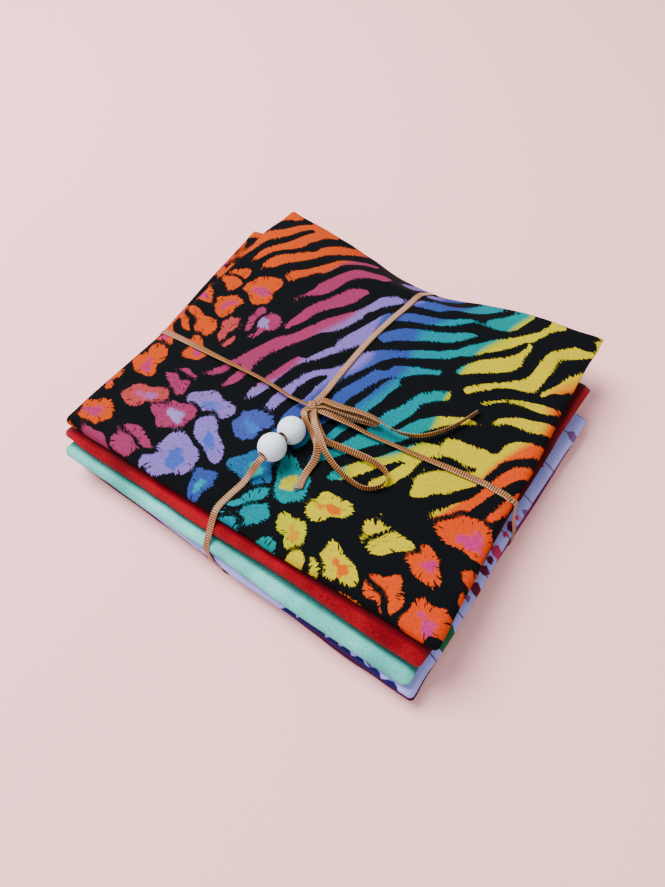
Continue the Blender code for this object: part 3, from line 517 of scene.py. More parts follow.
def soft_noise(x, y, cell, seed):
    """Smooth seeded noise from -1 to 1: a random grid of the given cell, blended cubically."""
    table = np.random.default_rng(seed).uniform(-1.0, 1.0, (NOISE_CELLS, NOISE_CELLS))
    gx = np.asarray(x) / cell + NOISE_SHIFT[0]
    gy = np.asarray(y) / cell + NOISE_SHIFT[1]
    ix = np.floor(gx).astype(int)
    iy = np.floor(gy).astype(int)
    fx = smooth_step(gx - ix)
    fy = smooth_step(gy - iy)
    a = table[ix % NOISE_CELLS, iy % NOISE_CELLS]
    b = table[(ix + 1) % NOISE_CELLS, iy % NOISE_CELLS]
    c = table[ix % NOISE_CELLS, (iy + 1) % NOISE_CELLS]
    d = table[(ix + 1) % NOISE_CELLS, (iy + 1) % NOISE_CELLS]
    return (a + (b - a) * fx) * (1.0 - fy) + (c + (d - c) * fx) * fy


def noise_sum(rows, x, y):
    """Sum of size * soft_noise(cell, seed) over the rows."""
    return sum(size * soft_noise(x, y, cell, seed) for size, cell, seed in rows)


def finish_piece(name, points, faces, material, nodes, uv, fields=None):
    """Mesh object from bundle millimetres, with its UV map and point fields, standing for nodes."""
    mesh = bpy.data.meshes.new(name)
    mesh.from_pydata(to_world(points).tolist(), [], faces)
    layer = mesh.uv_layers.new(name="cloth")
    corner = np.empty(len(mesh.loops), dtype=np.int32)
    mesh.loops.foreach_get("vertex_index", corner)
    layer.data.foreach_set("uv", np.asarray(uv, np.float32)[corner].ravel())
    for key, values in (fields or {}).items():
        kind, member = ("FLOAT_VECTOR", "vector") if values.ndim == 2 else ("FLOAT", "value")
        field = mesh.attributes.new(key, kind, "POINT")
        field.data.foreach_set(member, values.astype(np.float32).ravel())
    mesh.materials.append(material)
    mesh.shade_smooth()
    piece = bpy.data.objects.new(name, mesh)
    bpy.context.scene.collection.objects.link(piece)
    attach(piece, "root")
    if nodes:
        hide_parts(*nodes)
    return piece


def grid_quads(index, flip=False):
    """One quad for each cell of a grid of vertex numbers."""
    corners = [index[:-1, :-1], index[1:, :-1], index[1:, 1:], index[:-1, 1:]]
    faces = np.stack(corners, axis=-1).reshape(-1, 4)
    return faces[:, ::-1] if flip else faces


def shell(grid, thickness):
    """Closed sheet round a grid of middle points: both faces half the thickness off, rims joined."""
    normal = unit(np.cross(np.gradient(grid, axis=0), np.gradient(grid, axis=1)))
    rows, columns, _ = grid.shape
    half = 0.5 * thickness * normal
    points = np.concatenate([(grid + half).reshape(-1, 3), (grid - half).reshape(-1, 3)])
    top = np.arange(rows * columns).reshape(rows, columns)
    low = top + rows * columns
    faces = np.concatenate([
        grid_quads(top),
        grid_quads(low, flip=True),
        grid_quads(np.stack([low[:, 0], top[:, 0]], axis=1)),
        grid_quads(np.stack([top[:, -1], low[:, -1]], axis=1)),
        grid_quads(np.stack([low[0], top[0]], axis=0)),
        grid_quads(np.stack([top[-1], low[-1]], axis=0)),
    ])
    return points, faces.tolist()


# ---------------------------------------------------------------- the cloths' shape


def distance_to_segment(x, y, start, end):
    """Distance in plan from points to the segment between start and end."""
    ax, ay = start
    bx, by = end
    t = ((x - ax) * (bx - ax) + (y - ay) * (by - ay)) / ((bx - ax) ** 2 + (by - ay) ** 2)
    t = np.clip(t, 0.0, 1.0)
    return np.hypot(x - ax - t * (bx - ax), y - ay - t * (by - ay))


def crown(x, y):
    """How much the soft stack swells over its flat height, in the middle and back left."""
    dome_x = np.clip(1.0 - (x / CROWN_HALF_WIDTH) ** 2, 0.0, 1.0)
    dome_y = np.clip(1.0 - (y / CROWN_HALF_DEPTH) ** 2, 0.0, 1.0)
    puff = fall_off(x - CORNER_PUFF_PLACE[0], CORNER_PUFF_REACH[0])
    puff = puff * fall_off(y - CORNER_PUFF_PLACE[1], CORNER_PUFF_REACH[1])
    return CROWN_HEIGHT * dome_x * dome_y + CORNER_PUFF_HEIGHT * puff


def press(x, y):
    """How far the tie presses the top down along its strands: a wide dip with a groove in it."""
    depth = np.zeros_like(x)
    for start, end in TOP_STRANDS:
        away = distance_to_segment(x, y, start, end)
        dip = STRAND_PRESS * fall_off(away, STRAND_REACH)
        depth = np.maximum(depth, dip + STRAND_GROOVE * fall_off(away, STRAND_GROOVE_REACH))
    for place_x, place_y in EDGE_CROSSINGS:
        away = np.hypot(x - place_x, y - place_y)
        depth = depth + EDGE_PRESS * fall_off(away, EDGE_REACH)
        depth = depth + EDGE_GROOVE * fall_off(away, EDGE_GROOVE_REACH)
    return depth


def creases(x, y):
    """Height of the listed creases: size * exp(-(distance / reach)^2), summed."""
    total = np.zeros_like(x)
    for start, end, size, reach in CREASES:
        total = total + size * fall_off(distance_to_segment(x, y, start, end), reach)
    return total


def lift(x, y):
    """How far the strands underneath hold the lowest cloth off the floor."""
    height = np.zeros_like(x)
    for start, end in UNDER_STRANDS:
        gone = ramp(distance_to_segment(x, y, start, end), (UNDER_PLATEAU, UNDER_REACH))
        height = np.maximum(height, UNDER_LIFT * (1.0 - gone))
    return height


def waves(rows, place, z):
    """Sum of size * sin(place / length + shift * z) over the rows."""
    return sum(size * np.sin(place / length + shift * z) for size, length, shift in rows)


def settle(x, y, z):
    """Bring points of the neatly stacked cloths to where they lie in the tied bundle.

    Height: z + crown * z/H + lift * (1 - z/H)^4 - press * (z/H)^4 + creases * (z/H)^6, with H the
    full height, and soft unevenness that grows with height. Plan: small waves that shift with
    height, pulls inwards at the left crossing and on the right, a bulge at the front, and the top
    flap's corners drawn out backwards.
    """
    share = np.clip(z / FULL_HEIGHT, 0.0, 1.2)
    uneven = noise_sum(UNEVEN_TOP, x, y) * share ** 2 * ramp(z, UNEVEN_FROM)
    height = z + crown(x, y) * share + uneven
    height = height + lift(x, y) * np.clip(1.0 - share, 0.0, 1.0) ** 4
    height = height - press(x, y) * share ** 4 + creases(x, y) * np.clip(share, 0.0, 1.0) ** 6
    pull = SIDE_PULL * fall_off(y - SIDE_PULL_PLACE, SIDE_PULL_REACH)
    pull = pull * ramp(-x, SIDE_PULL_ACROSS) * ramp(share, SIDE_PULL_UP)
    drawn_in = RIGHT_PULL * fall_off(y - RIGHT_PULL_PLACE, RIGHT_PULL_REACH)
    drawn_in = drawn_in * ramp(share, RIGHT_PULL_UP)
    tied = RIGHT_TIE_PULL_LOW + (RIGHT_TIE_PULL - RIGHT_TIE_PULL_LOW) * ramp(share, RIGHT_TIE_UP)
    tied = tied + (RIGHT_TIE_PULL_TOP - RIGHT_TIE_PULL) * ramp(share, RIGHT_TIE_TOP_UP)
    drawn_in = drawn_in + tied * fall_off(y - RIGHT_TIE_PLACE, RIGHT_TIE_REACH)
    pull = pull - drawn_in * ramp(x, RIGHT_PULL_ACROSS)
    bulge = FRONT_BULGE * fall_off(x - FRONT_BULGE_PLACE, FRONT_BULGE_REACH)
    bulge = bulge * ramp(-y, FRONT_BULGE_FORWARD) * ramp(share, FRONT_BULGE_UP)
    on_left = fall_off(x - LEFT_CORNER_PLACE, LEFT_CORNER_WITHIN)
    on_right = fall_off(x - RIGHT_CORNER_PLACE, RIGHT_CORNER_WITHIN)
    on_flap = ramp(share, CORNERS_UP)
    corners = LEFT_CORNER_REACH * on_left + RIGHT_CORNER_REACH * on_right
    corners = corners * ramp(y, CORNERS_BACK) * on_flap
    pull = pull + LEFT_CORNER_SHIFT * on_left * ramp(y, LEFT_CORNER_BACK) * on_flap
    new_x = x + pull + waves(WAVES_ALONG_X, y, z) + noise_sum(UNEVEN_SIDES, y, z)
    new_y = y + corners - bulge + waves(WAVES_ALONG_Y, x, z) + noise_sum(UNEVEN_ENDS, x, z)
    return new_x, new_y, height


def fold_path(row):
    """Middle line of one letter-folded strip, from the flap's free edge to the tucked end.

    Columns: distance behind the front fold, height, outward normal (back, up), the flap's
    share, and the length along the strip. The second value is the thickness of one layer.
    """
    layer = (row.height - 2.0 * LAYER_GAP) / 3.0
    nose = row.height / 2.0
    front_radius = (row.height - layer) / 2.0
    back_radius = (layer + LAYER_GAP) / 2.0
    back_centre = row.low_depth - back_radius - layer / 2.0
    coarse = max(row.along // 5, LEAST_ALONG)
    flap = np.linspace(row.flap_depth, nose, row.along + 1)
    bottom = np.linspace(nose, back_centre, coarse + 1)
    tucked = np.linspace(back_centre, nose + TUCK_CLEARANCE, coarse + 1)
    front_turn = np.linspace(0.5 * math.pi, 1.5 * math.pi, FRONT_TURN_POINTS)[1:-1]
    back_turn = np.linspace(-0.5 * math.pi, 0.5 * math.pi, BACK_TURN_POINTS)[1:-1]

    def level(run, height, up, share):
        flat = np.ones_like(run)
        return np.stack([run, height * flat, 0.0 * flat, up * flat, share * flat], axis=1)

    def arc(turn, centre, height, radius, share):
        return np.stack([centre + radius * np.cos(turn), height + radius * np.sin(turn),
                         np.cos(turn), np.sin(turn), share], axis=1)

    path = np.concatenate([
        level(flap, row.height - layer / 2.0, 1.0, 1.0),
        arc(front_turn, nose, nose, front_radius, 0.5 + 0.5 * np.sin(front_turn)),
        level(bottom, layer / 2.0, -1.0, 0.0),
        arc(back_turn, back_centre, layer + LAYER_GAP / 2.0, back_radius, 0.0 * back_turn),
        level(tucked, 1.5 * layer + LAYER_GAP, 1.0, 0.0),
    ])
    length = running_length(np.diff(path[:, 0]), np.diff(path[:, 1]))
    return np.concatenate([path, length[:, None]], axis=1), layer


def ply_path(row, layer, width):
    """The cut width zigzagged into three plies: share across, offset off the middle, length.

    The outer ply runs left to right, turns under at the right edge, runs back, turns again at
    the left edge and ends a little short of the right one.
    """
    pitch = (layer + PLY_GAP) / 3.0
    radius = pitch / 2.0
    turn = np.linspace(0.5 * math.pi, -0.5 * math.pi, PLY_TURN_POINTS)[1:-1]
    right_turn = width - radius - PLY_RIGHT_ROOM
    left_turn = radius + PLY_LEFT_ROOM
    fine = np.linspace(PLY_START, right_turn, row.across + 1)
    coarse = np.linspace(right_turn, left_turn, row.across // 3 + 1)
    under = np.linspace(left_turn, width - PLY_SHORT, row.across // 3 + 1)
    across = np.concatenate([
        fine,
        fine[-1] + radius * np.cos(turn),
        coarse,
        coarse[-1] - radius * np.cos(turn),
        under,
    ])
    offset = np.concatenate([
        np.full_like(fine, pitch),
        pitch / 2.0 + radius * np.sin(turn),
        np.zeros_like(coarse),
        -pitch / 2.0 + radius * np.sin(turn),
        np.full_like(under, -pitch),
    ])
    return across / width, offset, running_length(np.diff(across), np.diff(offset))


def droop_angle(x):
    """Slope of the flap's overhang at x: steepest under the ribbon."""
    reach = np.where(x < FLAP_DROOP_PLACE, FLAP_DROOP_REACH_LEFT, FLAP_DROOP_REACH_RIGHT)
    share = fall_off(x - FLAP_DROOP_PLACE, reach)
    return FLAP_DROOP_LEAST + (FLAP_DROOP_MOST - FLAP_DROOP_LEAST) * share


def plan_direction(leans, u):
    """Unit vector from the front fold backwards, u of the way from the left to the right edge."""
    lean = np.radians(leans[0] + (leans[1] - leans[0]) * u)
    return np.sin(lean), np.cos(lean)


def fold_line(row, along):
    """Y of a cloth's front fold, this far to the right of its left end."""
    return row.left[1] + (row.right[1] - row.left[1]) * along / (row.right[0] - row.left[0])


def roll_sides(inside, width, radius, angle):
    """Turn a flat width down at both its edges: shift inwards, drop, and the angle of the turn.

    Within radius * angle of an edge, at the distance s from it, the turn is (radius * angle - s)
    / radius; the surface follows a circle there, moved out so that its edge stays in place.
    """
    total = []
    most = radius * (angle - np.sin(angle))
    for away, outward in ((inside, -1.0), (width - inside, 1.0)):
        turn = np.clip(angle - away / radius, 0.0, None)
        gone = radius * (turn - np.sin(turn))
        near = np.clip(1.0 - away / (4.0 * radius), 0.0, 1.0)
        shift = outward * (most * smooth_step(near) - gone)
        total.append((shift, radius * (1.0 - np.cos(turn)), outward * turn))
    return tuple(left + right for left, right in zip(*total))


def cloth_grid(row, base):
    """Middle points of a folded cloth on a grid of strip length by cut width, with its lengths.

    Each point is on the strip's folded path, set off it by its ply's offset, carried across the
    front fold's line by its share, bent with the overhang, and settled into the bundle. The
    flap's side edges turn down over the layers below, which end a little further in; an
    overhanging flap stays flat at the back right, and its back left is drawn in.
    """
    path, layer = fold_path(row)
    width = row.right[0] - row.left[0]
    u, offset, cut_across = ply_path(row, layer, width)
    u, offset = u[None, :], offset[None, :]
    back, height, normal_back, normal_up, share, length = (column[:, None] for column in path.T)
    low_x, low_y = plan_direction(row.low_leans, u)
    flap_x, flap_y = plan_direction(row.flap_leans, u)
    side_x = low_x + (flap_x - low_x) * share
    side_y = low_y + (flap_y - low_y) * share
    zero = np.zeros((back.size, u.size))
    inside = width * u + zero
    shift, drop, turn = roll_sides(inside, width, ROLL_RADIUS_SHARE * row.height, ROLL_ANGLE)
    rolled = ramp(share, ROLL_ON_FLAP)
    inset = (1.0 - share) * (row.inset[0] * (1.0 - u) - row.inset[1] * u)
    drawn_in = 0.0
    if row.flap_depth > row.low_depth:
        behind = row.left[1] + back
        rolled = rolled * (1.0 - ramp(behind, FLAP_FLAT_BACK) * ramp(u, FLAP_FLAT_ACROSS))
        drawn_in = FLAP_LEFT_PEEP * share * ramp(behind, FLAP_PEEP_BACK) * (1.0 - u) ** 3
    across = inside + shift * rolled + inset + drawn_in
    front_x = row.left[0] + across
    front_y = fold_line(row, across)
    back, height = back + zero, height + zero
    flat_back = back
    overhang = np.clip(front_y + back * side_y - FLAP_BEND_START, 0.0, None) * (share > 0.99)
    angle = droop_angle(front_x + back * side_x)
    bent = np.minimum(overhang, FLAP_BEND_RADIUS * angle)
    turned = bent / FLAP_BEND_RADIUS
    straight = overhang - bent
    back = back - overhang + FLAP_BEND_RADIUS * np.sin(turned) + straight * np.cos(turned)
    height = height - FLAP_BEND_RADIUS * (1.0 - np.cos(turned)) - straight * np.sin(turned)
    normal_back = normal_back + np.sin(turned)
    normal_up = normal_up * np.cos(turned)
    turn = turn * rolled
    back = back + offset * normal_back * np.cos(turn)
    height = height + offset * normal_up * np.cos(turn) - drop * rolled
    front_x = front_x + offset * np.sin(turn)
    grid = settle(front_x + back * side_x, front_y + back * side_y, base + height)
    cut = np.broadcast_arrays(cut_across[None, :], length + zero)
    plan = (front_x + flat_back * side_x, row.left[1] + row.flap_depth - length + zero)
    return tuple(np.stack(columns, axis=-1) for columns in (grid, cut, plan))


def shade_field(number, grid):
    """Share of painted shade: 1 under the next cloth, falling to 0 a little before its front fold and
    beside it.
    """
    over = CLOTHS[min(number + 1, len(CLOTHS) - 1)]
    x, y = grid[..., 0], grid[..., 1]
    before = (y - fold_line(over, x - over.left[0])) / SHADE_FRONT
    beside = np.minimum(x - over.left[0], over.right[0] + SHADE_RIGHT_ROOM - x) / SHADE_SIDE
    return np.clip(1.0 + np.minimum(before, beside), 0.0, 1.0)


# ---------------------------------------------------------------- the animal-skin print

PRINT_MIRRORS = (-150.0, 90.0)
PRINT_WARP = 2.4
PRINT_WARP_CELL = 17.0
BLACK_GAP = 2.1
OUTSIDE = -50.0
# The hue runs along X, and a little against Y.
HUE_SHIFT = 10.0
HUE_LEAN = 0.18
HUE_FRONT = -75.0
HUE_FROM = -100.0
HUE_WIDTH = 200.0
# Cells of the noise that combs the inks' edges.
COMB_CELL = 0.62
COMB_LENGTH = 3.0

# Spots: the bands they fill (depth, size, length and shift of a wavy edge) and their forms.
FRONT_BAND = (34.0, 9.0, 27.0, 0.5)
LEFT_BAND = (54.0, 8.0, 21.0, 0.0)
LEFT_BAND_END = 42.0
SPOT_SEED = 11
SPOT_COLUMNS = (-6, 7)
SPOT_ROWS = (-8, 6)
SPOT_SPACING = 21.0
SPOT_ROW_SHARE = 0.80
SPOT_ROW_SHIFT = 1.5
SPOT_JITTER = 2.4
SPOT_RADIUS = 8.9
SPOT_SIZES = (0.74, 1.08)
SPOT_STRETCHES = (0.98, 1.38)
SPOT_TILT = 0.7
SPOT_LOBES = ((2.0, 0.15), (3.0, 0.15), (5.0, 0.08))
SPOT_OUT = -2.0
SPOT_FRONT = -88.0
SPOT_LEAST = 1.5
SPOT_SPREAD = 7.3
PARTED_SHARE = 0.34
PARTED_PLACE = 0.28
PARTED_GAP = 1.15
PARTED_WAVE = 1.2
HEARTLESS_SHARE = 0.24
HEARTLESS_DROP = 20.0
HEART_SIZE = 0.42
HEART_LOBE = 0.14
HEART_PLACE = (1.2, -0.8)

# Stripes: ink where a wavy, forking set of lines is over a threshold. Rows of noise are size,
# cell and seed.
STRIPE_PITCH = 12.6
STRIPE_HEADING = 0.95
STRIPE_SWING = (11.0, 27.0, 0.6)
STRIPE_WANDER = ((5.0, 24.0, 31),)
STRIPE_LEVEL = 0.03
STRIPE_LEVEL_WANDER = ((0.74, 17.0, 33), (0.25, 7.0, 34))
STRIPE_BREAK = ((1.0, 12.0, 35),)
STRIPE_BREAK_FROM = 0.42
STRIPE_BREAK_RISE = 4.5
STRIPE_END_RISE = 1.3
STRIPE_END = (0.0, 11.0)
STRIPE_CLEARANCE = 0.5
STRIPE_HUE_SHIFT = -8.0
STRIPE_HUE_WANDER = ((9.0, 26.0, 36),)
# Places where one stripe forks into two, and the side it forks to.
FORKS = (
    (-66, 84, 1), (-40, 18, -1), (-20, 62, 1), (-8, 6, 1), (-2, 40, -1), (14, -26, -1),
    (20, 20, 1), (38, 62, 1), (44, -14, 1), (56, 26, -1), (70, 0, 1), (78, 48, -1),
    (30, -4, -1), (-46, -8, 1), (62, 70, 1), (4, 78, -1),
)


def spot_zone(x, y):
    """Distance into the band of spots along the front and left edges, negative outside it.

    A band reaches depth + size * sin(place / length + shift) beyond the middle.
    """
    depth, size, length, shift = FRONT_BAND
    front = -(y + depth + size * np.sin(x / length + shift))
    depth, size, length, shift = LEFT_BAND
    left = np.minimum(-(x + depth) + size * np.sin(y / length + shift), LEFT_BAND_END - y)
    return np.maximum(front, left)


class InkField:
    """Fields of the print while motifs are laid down one after another.

    motif is the distance inside the nearest motif's edge, core the same for its heart of another
    colour, place the X that gives its hue, and hair the coordinates that comb its ragged edge.
    """

    def __init__(self, x, y):
        self.x, self.y = x, y
        self.motif = np.full(x.shape, OUTSIDE)
        self.core = np.full(x.shape, OUTSIDE)
        self.place = np.zeros(x.shape)
        self.hair = np.zeros(x.shape + (3,))

    def lay(self, field, core, centre, hair, least=0.0):
        """Add a motif where it is clear of those already there by the black gap."""
        field = np.minimum(field, -self.motif - BLACK_GAP)
        if field.max() < least:
            return
        nearer = field > self.motif
        place = centre[0] + HUE_SHIFT - HUE_LEAN * (centre[1] - HUE_FRONT)
        self.motif = np.where(nearer, field, self.motif)
        self.core = np.where(nearer, core, self.core)
        self.place = np.where(nearer, place, self.place)
        self.hair = np.where(nearer[..., None], hair, self.hair)


def lay_spots(ink):
    """Blotchy spots on a loose staggered grid, some parted in two, most with a heart."""
    rng = np.random.default_rng(SPOT_SEED)
    columns, rows = np.meshgrid(np.arange(*SPOT_COLUMNS), np.arange(*SPOT_ROWS))
    centre_x = (columns * SPOT_SPACING + (rows % 2) * SPOT_SPACING / 2.0).ravel()
    centre_y = (rows * SPOT_SPACING * SPOT_ROW_SHARE).ravel() + SPOT_ROW_SHIFT
    for place_x, place_y in zip(centre_x, centre_y):
        place_x = place_x + rng.uniform(-SPOT_JITTER, SPOT_JITTER)
        place_y = place_y + rng.uniform(-SPOT_JITTER, SPOT_JITTER)
        radius = SPOT_RADIUS * rng.uniform(*SPOT_SIZES)
        stretch = rng.uniform(*SPOT_STRETCHES)
        tilt = rng.uniform(-SPOT_TILT, SPOT_TILT)
        phase = rng.uniform(0.0, 2.0 * math.pi, 4)
        kind = rng.uniform()
        if spot_zone(place_x, place_y) < SPOT_OUT and place_y > SPOT_FRONT:
            continue
        dx, dy = ink.x - place_x, ink.y - place_y
        a = (dx * math.cos(tilt) + dy * math.sin(tilt)) / stretch
        b = (dy * math.cos(tilt) - dx * math.sin(tilt)) * stretch ** 0.5
        away = np.hypot(a, b)
        turn = np.arctan2(b, a)
        lobes = sum(size * np.sin(count * turn + shift)
                    for (count, size), shift in zip(SPOT_LOBES, phase))
        field = radius * (1.0 + lobes) - away
        if kind < PARTED_SHARE:
            across = a * math.cos(phase[3]) + b * math.sin(phase[3]) - PARTED_PLACE * radius
            across = across + PARTED_WAVE * np.sin(0.5 * away + phase[0])
            field = np.minimum(field, np.abs(across) - PARTED_GAP)
        heart = radius * (HEART_SIZE + HEART_LOBE * np.sin(2.0 * turn + phase[3]))
        heart = heart - np.hypot(a - HEART_PLACE[0], b - HEART_PLACE[1])
        if kind <= HEARTLESS_SHARE:
            heart = heart - HEARTLESS_DROP
        comb = np.stack([turn * radius / COMB_CELL, away / COMB_LENGTH,
                         0.0 * away + SPOT_SPREAD * place_x + place_y], axis=-1)
        ink.lay(field, heart, (place_x, place_y), comb, SPOT_LEAST)


def lay_stripes(ink):
    """Stripes that wander, fork and break: ink where cos(2 pi phase) is over a threshold.

    phase = across / pitch + sum of side * angle / (2 pi) over the forks, where angle turns round
    the fork. The threshold rises in places and towards the spots, so that stripes end in points.
    """
    x, y = ink.x, ink.y
    along = x * math.cos(STRIPE_HEADING) + y * math.sin(STRIPE_HEADING)
    across = x * math.sin(STRIPE_HEADING) - y * math.cos(STRIPE_HEADING)
    size, length, shift = STRIPE_SWING
    across = across + size * np.sin(along / length + shift) + noise_sum(STRIPE_WANDER, x, y)
    phase = across / STRIPE_PITCH
    for fork_x, fork_y, side in FORKS:
        phase = phase + side * np.arctan2(y - fork_y, x - fork_x) / (2.0 * math.pi)
    zone = -spot_zone(x, y)
    breaks = np.clip(noise_sum(STRIPE_BREAK, x, y) - STRIPE_BREAK_FROM, 0.0, None)
    threshold = STRIPE_LEVEL + noise_sum(STRIPE_LEVEL_WANDER, x, y) + STRIPE_BREAK_RISE * breaks
    threshold = threshold + STRIPE_END_RISE * (1.0 - ramp(zone, STRIPE_END))
    field = (np.cos(2.0 * math.pi * phase) - threshold) * STRIPE_PITCH / (2.0 * math.pi)
    comb = np.stack([along / COMB_CELL, across / COMB_LENGTH, 0.0 * along], axis=-1)
    hue_x = x + STRIPE_HUE_SHIFT + noise_sum(STRIPE_HUE_WANDER, x, y)
    ink.lay(np.minimum(field, zone - STRIPE_CLEARANCE), field + OUTSIDE, (hue_x, y), comb)


def print_fields(plan):
    """All the print's fields at points of the flat cloth, from their place in plan."""
    x, y = plan[..., 0], plan[..., 1]
    front, back = PRINT_MIRRORS
    y = np.where(y < front, 2.0 * front - y, y)
    y = np.where(y > back, 2.0 * back - y, y)
    warp_x = x + PRINT_WARP * soft_noise(x, y, PRINT_WARP_CELL, 21)
    warp_y = y + PRINT_WARP * soft_noise(x, y, PRINT_WARP_CELL, 22)
    ink = InkField(warp_x, warp_y)
    lay_spots(ink)
    lay_stripes(ink)
    hue = np.clip((ink.place - HUE_FROM) / HUE_WIDTH, 0.0, 1.0)
    return {"motif": ink.motif, "core": ink.core, "hue": hue, "hair": ink.hair}


# ---------------------------------------------------------------- the lilac print

# Scallops of the lilac print along its front fold (first, last and spacing of their middles), and
# its flowers and leaves at its right edge: place, radius and tint.
LILAC_FOLD = -86.0
LILAC_BACK = 75.0
LILAC_WOBBLE = ((1.2, 7.0, 61),)
SCALLOPS = (35.0, 84.0, 6.6)
SCALLOP_RADIUS = 4.3
SCALLOP_LINE = -84.0
SCALLOP_FLATTEN = 0.8
PETAL_DEPTH = 0.22
FAR_OUTSIDE = -20.0
FLOWERS = (
    (96.0, 58.0, 2.6, 0.5), (95.0, 11.0, 1.9, 0.55), (94.0, 7.0, 1.5, 0.3), (93.6, 2.0, 2.4, 0.1),
    (93.0, -3.0, 1.6, 0.3), (92.6, -12.0, 2.5, 0.3), (92.0, -17.0, 1.6, 0.1),
    (91.8, -22.0, 2.2, 0.1), (92.2, -31.0, 2.6, 0.1), (91.0, -36.0, 1.6, 0.55),
    (91.0, -52.0, 3.0, 0.8), (90.6, -57.0, 2.4, 0.8), (92.0, 36.0, 1.8, 0.3),
    (-88.0, -10.0, 2.5, 0.1), (-86.0, 40.0, 2.4, 0.3), (-60.0, -84.0, 2.0, 0.1),
)


def lilac_fields(plan):
    """Distances inside the lilac print's scallops and inside its flowers, with their tint."""
    x, y = plan[..., 0], plan[..., 1]
    x = x + noise_sum(LILAC_WOBBLE, x, y)
    y = np.where(y < LILAC_FOLD, 2.0 * LILAC_FOLD - y, y)
    y = np.where(y > LILAC_BACK, 2.0 * LILAC_BACK - y, y)
    navy = np.full(x.shape, FAR_OUTSIDE)
    for place in np.arange(*SCALLOPS):
        away = np.hypot(x - place, (y - SCALLOP_LINE) * SCALLOP_FLATTEN)
        navy = np.maximum(navy, SCALLOP_RADIUS - away)
    bloom = np.full(x.shape, FAR_OUTSIDE)
    tint = np.zeros(x.shape)
    for place_x, place_y, radius, shade in FLOWERS:
        turn = np.arctan2(y - place_y, x - place_x)
        edge = radius * (1.0 + PETAL_DEPTH * np.sin(5.0 * turn))
        field = edge - np.hypot(x - place_x, y - place_y)
        tint = np.where(field > bloom, shade, tint)
        bloom = np.maximum(bloom, field)
    return {"navy": navy, "bloom": bloom, "tint": tint, "place": np.stack([x, y, 0.0 * x], axis=-1)}


# ---------------------------------------------------------------- materials

HUE_STOPS = (
    (0.06, "#a83a0a"), (0.155, "#a43a0c"), (0.175, "#7a2648"), (0.275, "#7c284c"),
    (0.295, "#6c5592"), (0.385, "#66559c"), (0.405, "#2b3c7c"), (0.475, "#263a78"),
    (0.495, "#006878"), (0.625, "#00706e"), (0.64, "#8c960c"), (0.655, "#aa9e00"),
    (0.815, "#ae9a00"), (0.835, "#b63c05"), (0.95, "#b43405"),
)
CORE_STOPS = (
    (0.06, "#8c1c50"), (0.15, "#882654"), (0.19, "#74609c"), (0.28, "#7c70a8"), (0.31, "#2c4690"),
    (0.40, "#2e4a98"), (0.43, "#007c90"), (0.49, "#00827c"), (0.52, "#a09a06"), (0.63, "#a89e00"),
    (0.66, "#b04404"), (0.80, "#b43c04"), (0.85, "#9a1a60"), (0.95, "#9a2062"),
)
BLOOM_STOPS = ((0.0, "#580d2f"), (0.25, "#a8285a"), (0.5, "#6a4a80"), (0.75, "#185a34"))
# Dyed cloths: the colour of painted shade in the nap's hollows, which also clouds the cloth at
# random, the colour of painted shade under the next cloth, the size of the nap and its depth in
# millimetres, sheen and roughness.
Dye = namedtuple("Dye", "name dark deepest nap depth sheen roughness")
RED_DYE = Dye("brushed_cotton_red", "#5c000a", "#2c0006", 0.9, 0.10, 0.04, 0.95)
MINT_DYE = Dye("flannel_mint", "#3f9c92", "#123c38", 0.7, 0.26, 0.05, 0.95)
PLUM_DYE = Dye("quilting_cotton_plum", "#4a1240", "#3a0c30", 0.7, 0.05, 0.02, 0.92)
# Scale of a wave texture whose bands are one unit apart.
BANDS = 0.314
THREAD = 0.55
# The part of a noise texture's values that is used.
NOISE_SPAN = (0.3, 0.7)
# Widths in millimetres over which an ink ends at the edge of its motif.
INK_EDGE = (-0.12, 0.16)
FLOWER_EDGE = (-0.15, 0.25)


def linear(hex_colour):
    """sRGB hex value to a linear RGBA colour."""
    raw = np.array([int(hex_colour[k:k + 2], 16) for k in (1, 3, 5)]) / 255.0
    straight = np.where(raw <= 0.04045, raw / 12.92, ((raw + 0.055) / 1.055) ** 2.4)
    return (*straight.tolist(), 1.0)


def add_node(tree, kind, inputs=None, **settings):
    """Add a node. inputs maps a socket's name or number to a value, a hex colour or a socket."""
    new = tree.nodes.new(kind)
    for name, value in settings.items():
        setattr(new, name, value)
    for name, value in (inputs or {}).items():
        if isinstance(value, bpy.types.NodeSocket):
            tree.links.new(value, new.inputs[name])
        else:
            new.inputs[name].default_value = linear(value) if isinstance(value, str) else value
    return new


def compute(tree, operation, *values):
    """Result of a math node."""
    return add_node(tree, "ShaderNodeMath", dict(enumerate(values)), operation=operation).outputs[0]


def remap(tree, value, span, result=(0.0, 1.0)):
    """Runs over result, from its first to its last, as the value runs over the span."""
    inputs = {0: value, 1: span[0], 2: span[1], 3: result[0], 4: result[1]}
    return add_node(tree, "ShaderNodeMapRange", inputs).outputs[0]


def mix(tree, share, first, second, blend_type="MIX"):
    """Colour that goes from the first to the second as the share goes from 0 to 1."""
    inputs = {0: share, 6: first, 7: second}
    return add_node(tree, "ShaderNodeMix", inputs, data_type="RGBA", blend_type=blend_type).outputs[2]


def noise(tree, place, scale, detail=2.0, roughness=0.5):
    """Noise at the place."""
    inputs = {"Vector": place, "Scale": scale, "Detail": detail, "Roughness": roughness}
    return add_node(tree, "ShaderNodeTexNoise", inputs).outputs["Fac"]


def bands(tree, place, scale, distortion, detail=1.0, detail_scale=1.0, across="X"):
    """Soft parallel bands across the given direction."""
    inputs = {"Vector": place, "Scale": scale, "Distortion": distortion, "Detail": detail,
              "Detail Scale": detail_scale}
    return add_node(tree, "ShaderNodeTexWave", inputs, bands_direction=across).outputs["Fac"]


